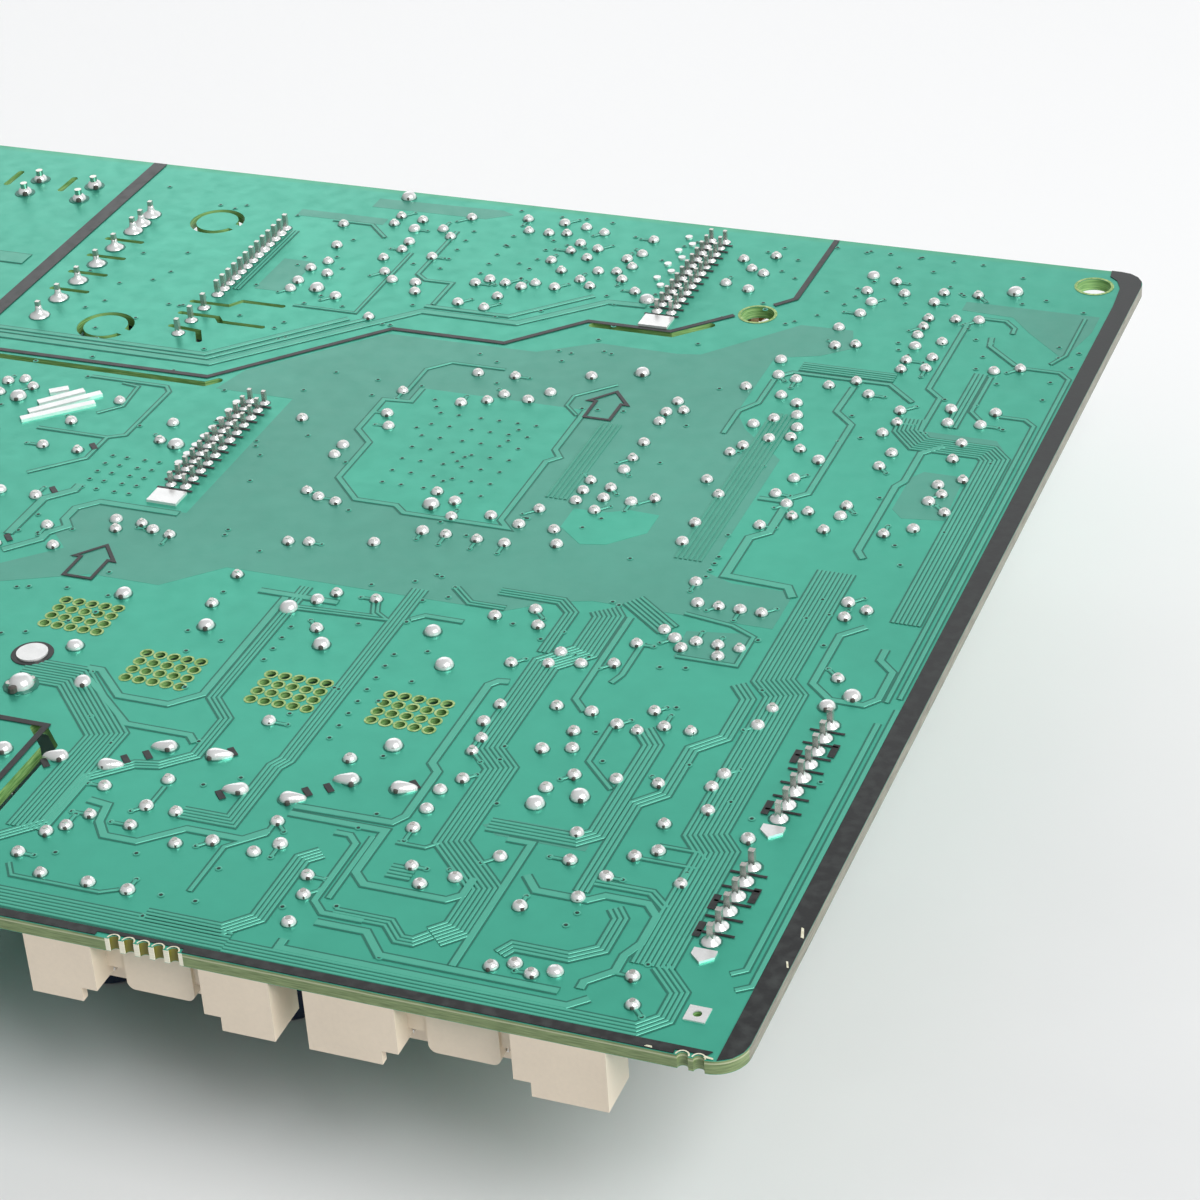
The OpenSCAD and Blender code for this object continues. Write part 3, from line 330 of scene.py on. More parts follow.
class PaintShop:
    """Builds each material once and hands it out by name."""

    def __init__(self) -> None:
        self._made: dict[str, Material] = {}

    def get(self, name: str) -> Material:
        """The material of a slot or of a board layer.

        Args:
            name: A key of PAINTS, or the name of a board layer.

        Returns:
            The built material.
        """
        if name not in self._made:
            maker = getattr(self, f"_{name}", None)
            if maker:
                self._made[name] = maker()
            elif name in MASKS:
                self._made[name] = self._masked(name, MASKS[name]).material
            else:
                self._made[name] = self._painted(name, PAINTS[name])
        return self._made[name]

    @staticmethod
    def _around(color: Color, drift: float) -> tuple[Color, Color]:
        """The darkest and lightest tone of a colour that wanders."""
        dark = tuple(part * (1 - drift) for part in color)
        return dark, tuple(min(1.0, part * (1 + drift)) for part in color)

    def _painted(self, name: str, paint: Paint) -> Material:
        """A plain material with its own grain."""
        shader = Shader(name)
        stretch = STRETCHES.get(paint.grain, (1.0, 1.0, 1.0))
        broad = shader.noise(paint.scale * 6, 3.0, stretch)
        fine = shader.noise(paint.scale * 0.3, 4.0, stretch)
        shade = (broad * 0.7 + fine * 0.3).ramp(0.3, 0.7)
        shader.link("Base Color", shader.blend(*self._around(paint.color, paint.drift), shade))
        rough = paint.finish.value
        shader.link("Roughness", fine.ramp(0.25, 0.75, rough * 0.8, rough * 1.25))
        shader.fix(Metallic=paint.metallic, Coat_Weight=paint.coat, Transmission_Weight=paint.glass)
        shader.bump(fine, paint.depth)
        return shader.material

    def _masked(self, name: str, mask: Mask) -> Shader:
        """Glossy solder mask with a slow cloud and a fine haze in it."""
        shader = Shader(name)
        cloud = shader.noise(45.0, 3.0).ramp(0.3, 0.7)
        haze = shader.noise(3.0, 3.0).ramp(0.3, 0.7)
        tones = self._around(mask.color, MASK_DRIFT)
        tone = shader.blend(*tones, cloud * 0.75 + haze * 0.25)
        shader.surface(tone, shader.noise(2.0, 3.0).ramp(0.3, 0.7, 0.30, 0.40))
        shader.fix(Metallic=mask.metal, Specular_IOR_Level=0.4)
        shader.bump(shader.noise(0.9, 2.0), 0.01)
        return shader

    def _laminate_green(self) -> Material:
        """Mask on the two faces, and cut laminate on the sides and in the slots and holes."""
        copper = MASKS["copper_mask"]
        shader = self._masked("laminate_green", copper)
        face = Sock(shader, shader.bsdf.inputs["Base Color"].links[0].from_socket)
        x, y, z = shader.axes(shader.mm)
        right, back = BOARD_W / 2, BOARD_D / 2
        weave = shader.noise(0.35, 3.0, (0.15, 0.15, 2.5)).ramp(0.35, 0.65)
        side = shader.blend(*LAMINATE, weave)
        side = shader.blend(side, INNER_LAYER, abs(z - (DECK - INNER_LAYER_DOWN)).below(INNER_LAYER_HALF))
        side = shader.blend(side, shader.blend(*RIGHT_SIDE, weave), x.above(right - 0.05))
        by_side = abs(x).ramp(right - SIDE_REACH_X, right - SIDE_REACH_X + 0.1)
        by_end = abs(y).ramp(back - SIDE_REACH_Y, back - SIDE_REACH_Y + 0.05)
        side = shader.blend(side, shader.blend(*SLOT_WALL, weave), 1 - by_side.math("MAXIMUM", by_end))
        bites = abs(x - (right - BITES_MID)).below(BITES_HALF) * y.below(BITE_DEPTH - back)
        bitten = shader.blend(shader.blend(*SNAPPED_GLASS, weave), BITE_SHADE, y.above(BITE_LIP - back))
        side = shader.blend(side, bitten, bites)
        face = shader.blend(face, BACK_BORDER, y.ramp(back - 1.4, back - 0.2) * 0.7)
        on_side = abs(z - (DECK + UNDERSIDE) / 2).below((DECK - UNDERSIDE) / 2 - 0.03)
        shader.link("Base Color", shader.blend(face, side, on_side))
        shader.link("Metallic", (1 - on_side) * copper.metal)
        return shader.material

    def _silk_black(self) -> Material:
        shader = Shader("silk_black")
        wear = shader.noise(1.2, 4.0).ramp(0.45, 0.75)
        shader.surface(shader.blend(*SILK_INK, wear), wear.ramp(0.0, 1.0, 0.32, 0.5))
        shader.bump(shader.noise(0.4, 2.0), 0.01)
        return shader.material

    @staticmethod
    def _frayed(
        name: str, tones: tuple[Color, Color], grain: float, rough: tuple[float, float], depth: float,
    ) -> Material:
        """Bare glass fibre, from its tones, grain size, least and most roughness and bump height."""
        shader = Shader(name)
        fray = shader.noise(grain, 3.0).ramp(0.35, 0.65)
        shader.surface(shader.blend(*tones, fray), fray.ramp(0.0, 1.0, *rough))
        shader.bump(fray, depth)
        return shader.material

    def _bare_fibre(self) -> Material:
        return self._frayed("bare_fibre", FRAYED_FIBRE, 0.3, (0.55, 0.75), 0.03)

    def _bare_rim(self) -> Material:
        return self._frayed("bare_rim", DRILLED_RIM, 0.4, (0.45, 0.6), 0.02)

    def _via_hole(self) -> Material:
        shader = Shader("via_hole")
        grain = shader.noise(0.5)
        shader.surface(shader.blend(*HOLE_SHADE, grain), grain.ramp(0.3, 0.7, 0.4, 0.6))
        return shader.material

    def _studio_floor(self) -> Material:
        shader = Shader("studio_floor")
        blotch = shader.noise(60.0, 4.0).ramp(0.35, 0.7)
        grain = shader.noise(1.2, 3.0)
        # Painted light: the floor's colour turns lighter from the front to the back.
        far = shader.axes(shader.mm)[1].ramp(-50.0, 120.0)
        tone = shader.blend(shader.blend(*FLOOR_NEAR, blotch), FLOOR_BACK_PAINTED_LIGHT, far)
        shader.surface(tone, grain.ramp(0.3, 0.7, 0.38, 0.5))
        shader.bump(grain, 0.02)
        return shader.material


# ---- mesh helpers


@dataclass
class Sheet:
    """Vertices in millimetres and faces of one kind, gathered before they become a mesh."""

    points: list[np.ndarray] = field(default_factory=list)
    faces: list[list[int]] = field(default_factory=list)
    count: int = 0

    def add(self, points: np.ndarray, faces: np.ndarray | Sequence[Sequence[int]]) -> None:
        """Adds points of shape (n, 3), and faces that index them from 0."""
        points = np.asarray(points, float).reshape(-1, 3)
        self.points.append(points)
        self.faces.extend((np.asarray(faces) + self.count).tolist())
        self.count += len(points)

    def build(self, name: str, material: Material, smooth: bool = False) -> bpy.types.Object:
        """Makes the object, in metres, at the origin, riding on the root body.

        Args:
            name: The object's name.
            material: Its only material.
            smooth: Whether its faces are shaded smooth.

        Returns:
            The object.
        """
        mesh = bpy.data.meshes.new(name)
        mesh.from_pydata((np.concatenate(self.points) * MM).tolist(), [], self.faces)
        mesh.materials.append(material)
        mesh.polygons.foreach_set("use_smooth", [smooth] * len(mesh.polygons))
        mesh.update()
        made = bpy.data.objects.new(name, mesh)
        bpy.context.scene.collection.objects.link(made)
        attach(made, "root")
        log.info("%s: %d vertices, %d faces", name, len(mesh.vertices), len(mesh.polygons))
        return made


def on_board(places: Sequence[Place] | np.ndarray, height: float = DECK) -> np.ndarray:
    """Points (left, back) as x, y, z in millimetres of the row frame."""
    flat = np.asarray(places, float).reshape(-1, 2)
    return np.stack([BOARD_W / 2 - flat[:, 0], flat[:, 1] - BOARD_D / 2, np.full(len(flat), height)], axis=1)


def offset_line(points: np.ndarray, distance: float) -> np.ndarray:
    """A polyline of shape (n, 3) moved sideways with mitred corners."""
    step = np.diff(points[:, :2], axis=0)
    step /= np.linalg.norm(step, axis=1, keepdims=True)
    normal = np.stack([-step[:, 1], step[:, 0]], axis=1)
    before = np.concatenate([normal[:1], normal])
    after = np.concatenate([normal, normal[-1:]])
    mitre = (before + after) / (1.0 + (before * after).sum(axis=1, keepdims=True))
    moved = points.copy()
    moved[:, :2] += mitre * distance
    return moved


def ridge(sheet: Sheet, points: np.ndarray, width: float, height: float, slope: float = 0.05) -> None:
    """Adds a low ridge with sloping flanks along a polyline."""
    half = width / 2
    rails = [offset_line(points, side) for side in (-half, slope - half, half - slope, half)]
    rails[1][:, 2] += height
    rails[2][:, 2] += height
    grid = np.stack(rails, axis=1)
    n = len(points)
    index = np.arange(n * 4).reshape(n, 4)
    quads = np.stack([index[:-1, :-1], index[:-1, 1:], index[1:, 1:], index[1:, :-1]], axis=-1).reshape(-1, 4)
    sheet.add(grid, quads[:, ::-1])


def revolve(
    sheet: Sheet, centres: np.ndarray, radii: Sequence[float], heights: Sequence[float],
    sides: int = 12, sizes: np.ndarray | float = 1.0, lean: np.ndarray | None = None,
    pull: np.ndarray | None = None,
) -> None:
    """Adds the same turned shape at many places.

    Args:
        sheet: What it is added to.
        centres: Places of shape (n, 3) in millimetres.
        radii: Radius of each ring.
        heights: Height of each ring over its place.
        sides: Points in a ring.
        sizes: Size of each copy.
        lean: Sideways travel per millimetre of height, of shape (n, 2).
        pull: How far the side that faces this way is drawn out at the foot, of shape (n, 2).
    """
    n, k = len(centres), len(radii)
    angle = np.linspace(0, 2 * math.pi, sides, endpoint=False)
    ring = np.stack([np.cos(angle), np.sin(angle)], axis=1)
    size = np.broadcast_to(np.asarray(sizes, float).reshape(-1, 1, 1, 1), (n, 1, 1, 1))
    points = np.zeros((n, k, sides, 3))
    points[..., :2] = ring * np.asarray(radii, float)[None, :, None, None] * size
    points[..., 2] = np.asarray(heights, float)[None, :, None] * size[..., 0]
    if lean is not None:
        points[..., :2] += lean[:, None, None, :] * points[..., 2:3]
    if pull is not None:
        far = np.linalg.norm(pull, axis=1, keepdims=True)
        facing = np.clip(np.einsum("sc,nc->ns", ring, pull / np.maximum(far, 0.01)), 0.0, 1.0) ** 4
        drawn = facing[:, None, :] * np.asarray(radii, float)[None, :, None]
        points[..., :2] += drawn[..., None] * pull[:, None, None, :]
    points += centres[:, None, None, :]
    index = np.arange(n * k * sides).reshape(n, k, sides)
    turned = np.roll(index, -1, axis=2)
    quads = np.stack([index[:, :-1], turned[:, :-1], turned[:, 1:], index[:, 1:]], axis=-1).reshape(-1, 4)
    base = sheet.count
    sheet.add(points, quads)
    sheet.faces.extend((index[:, -1, :] + base).tolist())


def annulus(
    sheet: Sheet, centres: np.ndarray, inner: float, outer: float, sides: int, turn: float = 2 * math.pi,
) -> None:
    """Adds a flat ring at each place, or the part that starts at the right and turns towards the back."""
    n = len(centres)
    angle = np.linspace(0, turn, sides + 1)
    ring = np.stack([np.cos(angle), np.sin(angle), np.zeros(sides + 1)], axis=1)
    points = centres[:, None, None, :] + ring[None, None] * np.array([inner, outer])[None, :, None, None]
    index = np.arange(n * 2 * (sides + 1)).reshape(n, 2, sides + 1)
    low, high = index[:, 0], index[:, 1]
    quads = np.stack([low[:, :-1], high[:, :-1], high[:, 1:], low[:, 1:]], axis=-1).reshape(-1, 4)
    sheet.add(points, quads)


def slab(sheet: Sheet, outline: Sequence[Place], height: float, rise: float) -> None:
    """Adds a flat prism with an outline of (left, back) places."""
    low = on_board(outline, height)
    high = on_board(outline, height + rise)
    n = len(low)
    index = np.arange(n)
    turned = np.roll(index, -1)
    sheet.add(np.concatenate([low, high]), np.stack([index, turned, turned + n, index + n], axis=1))
    sheet.faces.append((index + n + sheet.count - 2 * n).tolist())


# ---- board skin


@dataclass(frozen=True)
class Track:
    """A bundle of parallel traces along one path.

    Args:
        path: Corners as (left, back).
        pitch: Distance between them.
        lines: How many traces run side by side.
        faint: Whether it lies in a bare field, where it hardly shows.
    """

    path: Places
    pitch: float = 1.0
    lines: int = 1
    faint: bool = False


# The groove beside a trace and how far it runs under it, in millimetres.
GROOVE = 0.17
GROOVE_LAP = 0.08
# Each bundle lies a hair over the last, so that two that cross never share a plane.
TRACE_STEP = 0.0003
GROOVE_STEP = 0.00001
# Short traces at single joints.
STUB_SHARE = 0.45
STUB_REACH = (1.5, 2.3)
STUB_WIDTH = 0.34
STUB_GROOVE = 0.14
STUB_GROOVE_MID = 0.24
SCATTERED_VIAS = 300
VIA_CLEARANCE = 1.5
WAFER_PITCH = 2.5
HEADER_PITCH = 2
HEADER_ROWS = 12

BARE_FIELDS: tuple[Places, ...] = (
    (
        (112, 56), (101, 61), (92, 61), (86, 66.8), (51, 66.8), (46, 70.3), (42, 71.6), (20.5, 71.6),
        (20.5, 79.5), (28, 79.5), (31.6, 81), (31.6, 108), (38, 114), (40.5, 118), (40.5, 133), (35, 135),
        (31.5, 138), (33, 142.8), (40, 142.6), (50, 131.4), (53, 130.8), (64, 131), (71, 126.6),
        (92, 126.3), (106, 112), (107.5, 106.5), (96.5, 106.5), (96.5, 76.8), (108, 76.8), (110, 74),
        (110, 68.5), (107, 65.5), (113, 60),
    ),
    ((21, 154.5), (3.2, 154.5), (3.2, 150), (5, 142), (11, 148), (14, 151.6), (21, 152)),
    ((17.5, 119.4), (7.6, 119.4), (6, 117), (7, 115.4), (17, 115.4)),
    ((110.5, 164.8), (91.5, 165.4), (89.6, 164.4), (93, 162.2), (110.5, 162)),
    ((120, 158.8), (106.5, 158.8), (106.5, 156.8), (120, 156.8)),
    ((115.5, 143.5), (110.8, 143.5), (110.8, 134), (115.5, 134)),
    ((37.4, 28.2), (35, 29.8), (25.6, 29.8), (25.6, 26.9), (35.4, 26.9)),
    ((29.6, 68.6), (22.2, 70), (21.8, 63.2), (29.2, 63.2)),
    ((15.2, 108), (14, 109.8), (9, 109.8), (8.6, 99.4), (13.6, 98.6), (15.2, 100.4)),
)

POURS: tuple[Places, ...] = (
    (
        (81.6, 113.5), (59.2, 113.5), (59.2, 103), (58, 101.4), (59.2, 100), (59.2, 85.4), (57.8, 83.7),
        (71, 83.7), (72.6, 85.2), (78, 85.2), (82.3, 89.5), (82.3, 98.6), (85.2, 101.5), (85.2, 109.6),
        (81.6, 109.9),
    ),
    ((51.6, 90.4), (51.6, 86), (48, 82.9), (45, 83.6), (41.2, 87.4), (41.2, 91.6), (45, 91.8), (47.4, 90.6)),
)

TRACKS: tuple[Track, ...] = (
    # front
    Track(((62, 68.5), (62, 33), (62.7, 31.5), (62.7, 21.2), (68.5, 21.2)), 0.5, 4),
    Track(((44.8, 53.5), (46, 53.3), (46.8, 52.3), (46.8, 36.8), (45.6, 35.5), (45.6, 27.3), (46.5, 25.8),
          (57.5, 25.6))),
    Track(((57.5, 24.3), (46.6, 24.3), (46.6, 17), (45, 15.4), (36, 15.4), (34.7, 16.6), (34.7, 19.5))),
    Track(((40, 70.3), (39, 69), (39, 61.5), (42.3, 58), (42.3, 41), (39.4, 38), (39.4, 24.5), (33, 18.2),
          (33, 11.5), (34.8, 9.6)), 0.5, 7),
    Track(((35.2, 9.8), (36.5, 8.3), (38, 8.3), (40, 10.4), (46, 10.4)), 0.5, 3),
    Track(((64, 4.5), (55.5, 4.5), (52.8, 7.3), (52.8, 17.5), (51.3, 19)), 0.5, 4),
    Track(((100, 3), (54, 3)), 0.5, 6),
    Track(((54, 2.3), (11, 2.3), (8.9, 4.5), (8.9, 8.5), (12, 11.8)), 0.5, 4),
    Track(((12.8, 11.5), (12.8, 30.5), (14.9, 33), (14.9, 59.3), (17.2, 61.8), (17.2, 85)), 0.5, 9),
    Track(((3.9, 57), (3.9, 13.6), (5.2, 12.6)), 0.7),
    Track(((2.6, 60), (2.6, 11.4), (4, 10.4)), 0.7),
    Track(((20.6, 60), (18.6, 57.5), (18.6, 50), (21.3, 47), (21.3, 38.5), (23.6, 36),
          (23.6, 20.5)), 0.55, 3),
    Track(((27.5, 49), (25.5, 46.5), (25.5, 30), (27.2, 28.4), (36.8, 28.4)), 0.55, 4),
    Track(((31, 49), (31, 41.8), (26.9, 37.7)), 0.6),
    Track(((29.8, 21.5), (28, 19.4), (22.5, 19.4), (21, 20.6), (16.5, 20.6), (15, 18.9), (15, 14.5),
          (15.9, 12.3), (15.9, 9.8), (18.2, 7.4), (18.2, 6.3))),
    Track(((22.8, 22.4), (16.8, 22.4), (14.6, 20.4)), 0.55, 2),
    Track(((48.8, 5), (48.8, 3.6), (18.5, 3.6), (16.8, 5.2))),
    Track(((47, 8.4), (41.5, 8.4), (38.8, 5.4), (20, 5.4))),
    Track(((34, 26.6), (31.3, 26.6), (31.3, 5.9)), 0.9),
    Track(((27.6, 9), (26.8, 10.5), (21, 10.5), (18.3, 12.6), (18.3, 17.6), (19.4, 19)), 0.55, 3),
    Track(((61.4, 9.2), (61.4, 17), (58.2, 20.2), (58.2, 22)), 0.6),
    Track(((51.5, 22.6), (49.8, 22.6), (48.6, 21.4), (48.6, 11.5), (47, 9.9), (42.5, 9.9)), 0.8),
    Track(((47.4, 23), (47.4, 12.2)), 0.7),
    Track(((43.5, 18.3), (40.8, 18.3)), 0.55, 4),
    Track(((44.7, 22.8), (41.5, 22.8), (40.4, 23.9)), 0.5),
    Track(((20.6, 27.4), (13.6, 27.4)), 0.5),
    Track(((18.8, 30), (14.4, 30), (13.4, 29)), 0.5),
    Track(((98.5, 40.8), (92, 40.8), (83, 31.8), (83, 14)), 0.5, 9),
    Track(((91.5, 43), (89.8, 43), (85.4, 38.9), (79.3, 38.9), (76.4, 41.8), (76.4, 62.6))),
    Track(((75, 65.4), (75, 41.5), (71.8, 38.2), (71.8, 31), (74.8, 28.2), (77.4, 27.6), (81.3, 24),
          (81.3, 15.6), (86, 11)), 0.5, 3),
    Track(((90.2, 41), (82, 34.2), (74.2, 34.2), (73, 33)), 0.9),
    Track(((79, 20.4), (76.6, 20.1), (76, 17.2), (74.4, 15.2), (70.6, 15.2), (66.6, 18.7), (60.2, 18.7),
          (58.2, 20.8))),
    Track(((72.3, 24.8), (72.3, 21)), 0.5),
    Track(((81.6, 8.2), (80.3, 6.4), (70.2, 6.4), (68.4, 7.4)), 0.5),
    # middle
    Track(((19, 122), (18.8, 119), (16.5, 116.3), (8, 116.3), (6.6, 114.7), (6.6, 76.5)), 0.5, 7),
    Track(((8.8, 138.3), (4.5, 138.3), (3, 136.8), (3, 62)), 0.6),
    Track(((8.8, 125.3), (5.6, 125.3), (4.2, 124), (4.2, 61)), 0.6),
    Track(((10.6, 74.8), (12.9, 72.4), (12.9, 62.4), (10.2, 59.9), (6.4, 59.9), (5.2, 61.4), (5.2, 66.8),
          (7.2, 68.8), (7.2, 71)), 0.9),
    Track(((27.5, 99), (27.5, 91.4), (29.3, 89.6), (29.3, 80.9), (21.6, 80.4), (20.4, 78.4)), 1.1),
    Track(((28.4, 128), (28.6, 121.4), (25.8, 118.6), (25.8, 101.2), (28.4, 98.6), (31.2, 98.6)), 0.8),
    Track(((13.4, 116.4), (15.6, 114), (15.6, 107), (16.3, 105.5), (16.3, 90.2), (15.2, 88.6)), 0.9),
    Track(((34.6, 119), (34.6, 83)), 0.6, 6, True),
    Track(((54.6, 111), (54.6, 92)), 0.6, 5, True),
    Track(((37.6, 73), (31.6, 68.2)), 0.55, 5),
    Track(((31, 72), (25, 71), (22, 69.4), (22, 63.4), (29, 63.4)), 0.6),
    Track(((53, 70.6), (45.4, 70.6), (43.4, 68.6), (43.4, 60)), 0.5, 3),
    Track(((36.6, 69.5), (36.6, 52.4), (34.8, 50.4)), 0.8),
    Track(((33.4, 65), (33.4, 58.2), (34, 56.4)), 0.7),
    Track(((58.2, 70), (55.4, 67.4), (51, 67.4)), 0.5, 2),
    Track(((60.5, 62.2), (59.2, 63.4), (54.5, 63.4)), 0.8),
    Track(((80, 63.2), (70, 63.2))),
    Track(((66, 65), (65, 62.4), (63.8, 61.6), (75.6, 60.9)), 0.5, 2),
    Track(((97.3, 76.3), (108, 76.3), (110.2, 74.2), (110.2, 71.5), (109, 70), (110.7, 68), (110.7, 66.5),
          (114, 63)), 1.1),
    Track(((112.5, 79.5), (112.5, 78), (115.2, 75.2), (115.2, 66.5)), 1.2),
    Track(((120, 104.6), (117.6, 104.2), (117, 99), (119.4, 96.4)), 0.5),
    Track(((125, 105.2), (114, 105.2), (113, 104), (113, 92.2), (115, 91), (125, 91)), 0.6),
    Track(((115, 91), (115, 85.6), (120.5, 80.4)), 0.6),
    Track(((59, 113.4), (59, 103), (57.8, 101.4), (59, 100), (59, 85.4), (57.6, 83.9), (71, 83.9),
          (72.6, 85.3), (78, 85.3), (82.2, 89.6), (82.2, 98.6), (85, 101.4), (85, 109.4), (81.4, 109.8),
          (81.4, 113.4)), 0.8),
    # back
    Track(((150, 112.5), (111.5, 112.5), (90.3, 133.4), (76.6, 133.4), (67, 142.3), (61.6, 142.5)), 1.2),
    Track(((150, 114.6), (113.4, 114.6), (99, 129)), 0.9),
    Track(((150, 113.6), (112.6, 113.6), (96, 130)), 0.7),
    Track(((90.5, 135), (78.4, 135), (69.4, 143.6)), 0.8),
    Track(((36.5, 131.6), (24, 131.6)), 0.55, 4),
    Track(((38.5, 128.3), (37, 129.8), (24.2, 129.8), (20.2, 126)), 0.7),
    Track(((19.2, 148.6), (19.2, 130), (17.2, 128), (17.2, 119)), 0.7),
    Track(((17.8, 150.3), (14.6, 150.3), (13, 148.6), (12.9, 147)), 0.6),
    Track(((15.2, 145.4), (14.8, 143), (10.3, 138.7)), 0.7),
    Track(((4.9, 153.5), (4.9, 143), (6.2, 140.2)), 0.5),
    Track(((13.9, 135.5), (13.9, 121)), 0.55, 3),
    Track(((12.5, 135), (12.5, 125.6), (10.6, 123.4)), 0.6),
    Track(((38.7, 127.4), (38.7, 121), (40.4, 118.4), (40.4, 112.4)), 0.7),
    Track(((95.3, 157.5), (95.3, 143.6), (93.6, 142.2), (89.6, 142.2), (89.6, 135.6)), 0.6),
    Track(((98.8, 149.5), (98.8, 130.7), (108, 130.7)), 0.5),
    Track(((117.8, 152), (117.8, 133)), 0.5, 2),
    Track(((114, 156.5), (108, 156.5), (104.5, 153)), 0.6),
    Track(((73, 120.9), (80.5, 120.9), (83, 118.4), (83, 111.6)), 0.6),
    Track(((57.5, 120.8), (61.8, 116.6), (61.8, 114), (59.6, 111.8)), 0.5),
    # power side
    Track(((240, 160), (228, 150), (200, 150)), 4),
    Track(((176, 150), (160, 134), (151, 134)), 3),
    Track(((238, 115), (238, 135), (205, 135)), 3),
    Track(((236, 30), (236, 44), (228, 52)), 3),
    Track(((206, 62), (200, 100), (200, 122)), 2),
    Track(((178, 80), (186, 60), (186, 34)), 1.2),
)

# First via, last via and how many, as (left, back, left, back, count).
VIA_ROWS: tuple[tuple[float, float, float, float, int], ...] = (
    *((left, 90, left, 108, 7) for left in (76.5, 74, 71, 68.5, 66, 63.5)),
    *((left, 79, left, 87, 5) for left in (112, 110, 107.5, 105.5)),
    *((left, 146, left, 158, 5) for left in (93, 87, 81)),
    (59.3, 55, 59.3, 38, 8), (73, 57, 73, 50, 4), (31.3, 80, 31.3, 84.5, 4), (24.2, 133, 24.2, 158, 6),
)
VIAS: Places = (
    (37.5, 165.7), (34.7, 165.6), (30.2, 165.6), (25.8, 165.5), (21.7, 165.4), (15.6, 163), (49.2, 163.8),
    (51, 162), (46.3, 160.7), (45, 155.3), (32.4, 162), (27.6, 161.8), (35.6, 152.2), (28.6, 151.9),
    (36.3, 149.6), (38.8, 145.7), (42.1, 142.3), (13.8, 155.6), (5.5, 155.1), (5.6, 142.1), (3.4, 144),
    (3.4, 140), (14.9, 143.8), (14.9, 140), (14.9, 136.6), (5, 135.5), (4.8, 130.8), (16.5, 127.8),
    (16.5, 118.8), (7.6, 122.2), (51.3, 134), (64.3, 131.8), (62.4, 128.9), (68.2, 127.5), (66.8, 125),
    (89, 165.9), (82.6, 165.4), (79, 165.7), (75, 165.4), (70.3, 161.9), (97.2, 146.4), (106.2, 142.6),
    (92.2, 134.8), (101.3, 132), (78.6, 111),
)

# Heights of the board's layers in millimetres: each lies just over the one under it.
SHADE_AT = DECK - 0.45
LIP_AT = DECK + 0.005
BARE_TOP = DECK + 0.012
POUR_TOP = DECK + 0.03
RING_AT = DECK + 0.03
GROOVE_AT = DECK + 0.034
TRACE_AT = DECK + 0.036
RIM_AT = DECK + 0.045
VIA_AT = DECK + 0.05
SILK_AT = DECK + 0.095
SCRAPE_AT = DECK + 0.1
FRAY_AT = DECK + 0.12
TRACE_RISE = 0.05
SILK_RISE = 0.02

SILK_LINES: tuple[tuple[float, Places], ...] = (
    (0.8, ((165, 108.5), (110, 109), (92, 127.7), (76, 127.7), (67.5, 136.4), (56, 136.4), (49.4, 142.9))),
    (0.8, ((45.2, 147), (43, 149.5), (43, 167.8))),
    (2.2, ((147.5, 167.8), (147, 110))),
    (0.8, ((120, 31.4), (90.2, 31.4), (90.2, 8))),
    (0.5, ((102.2, 60), (104, 60), (104, 64.2), (104.8, 64.2), (102.2, 67.3), (99.6, 64.2), (100.4, 64.2),
           (100.4, 60), (102.2, 60))),
    (0.5, ((56.9, 111.8), (58.6, 111.8), (58.6, 116), (59.5, 116), (56.9, 119), (54.4, 116), (55.2, 116),
           (55.2, 111.8), (56.9, 111.8))),
)

# Black borders: one along the right edge and its two corners, and three along the front edge.
RIGHT_STRIP: Places = (
    (0.02, 3.5), (0.27, 2.15), (1.02, 1.02), (2.3, 0.25), (2.3, 158), (2.6, 163.2), (3.4, 165.2),
    (4.6, 166.3), (4.8, 167.97), (3.5, 167.97), (2.16, 167.72), (1.04, 166.96), (0.28, 165.8),
    (0.02, 164.5),
)
FRONT_STRIPS: tuple[Places, ...] = (
    ((67.2, 0.1), (140, 0.1), (140, 1.2), (67.2, 1.2)),
    ((3.4, 0.65), (67.2, 0.65), (67.2, 1.2), (3.0, 1.3)),
    ((6.5, 0.1), (57.6, 0.1), (57.6, 0.65), (6.5, 0.65)),
)
CAPACITOR_BARS: Places = (
    (86.8, 25), (78.7, 28.1), (76.8, 29.5), (68.2, 32.6), (65.9, 25.1), (57.3, 28.2), (55.4, 29.5),
    (46.9, 32.6), (115.5, 88.4), (115, 77.3), (114.7, 65.7),
)
# The middle of each side wafer's row of pins as left and back, and its number of pins.
WAFER_PINS: tuple[tuple[float, float, int], ...] = ((8.6, 46.5, 8), (8.6, 23.0, 6))
# Joints over leads that are bent flat, as left, back and which way: 1 for the right and -1 for the left.
CLINCHED: tuple[tuple[float, float, int], ...] = (
    (85.5, 26.5, -1), (80, 26.5, 1), (75.5, 31, -1), (69.5, 31, 1),
    (64.5, 26.5, -1), (59, 26.5, 1), (53.5, 31, -1), (48.5, 31, 1),
)
# White scrapes on the black border.
SCUFFS: tuple[Places, ...] = (
    ((0.15, 19.7), (0.5, 19.8), (0.9, 21.3), (0.6, 21.2)),
    ((0.15, 15.0), (0.35, 15.0), (0.7, 15.9), (0.5, 15.9)),
    ((2.6, 0.2), (3.6, 0.25), (3.5, 0.55), (2.7, 0.4)), ((8.6, 0.15), (9.4, 0.2), (9.2, 0.4), (8.7, 0.4)),
)
VENTS: Places = ((97.5, 52.5), (83, 45), (67.5, 45), (53, 45))
VENT_PITCH = 1.7
VENT_COLUMNS = (-2, -1, 0, 1, 2)
VENT_ROWS = (-1.5, -0.5, 0.5, 1.5)
# Half holes of the snapped-off tabs.
BITES: Places = (*((58.5 + step * 1.65, 0.02) for step in range(5)), (4.0, 0.02), (5.6, 0.02))
MARK_DOT: Place = (99, 43.8)
MOUNT_HOLES: Places = ((6, 163), (46.5, 144), (244, 163), (244, 6))
HEADER_MIDS: Places = ((58.7, 152.5), (100.5, 93.5))


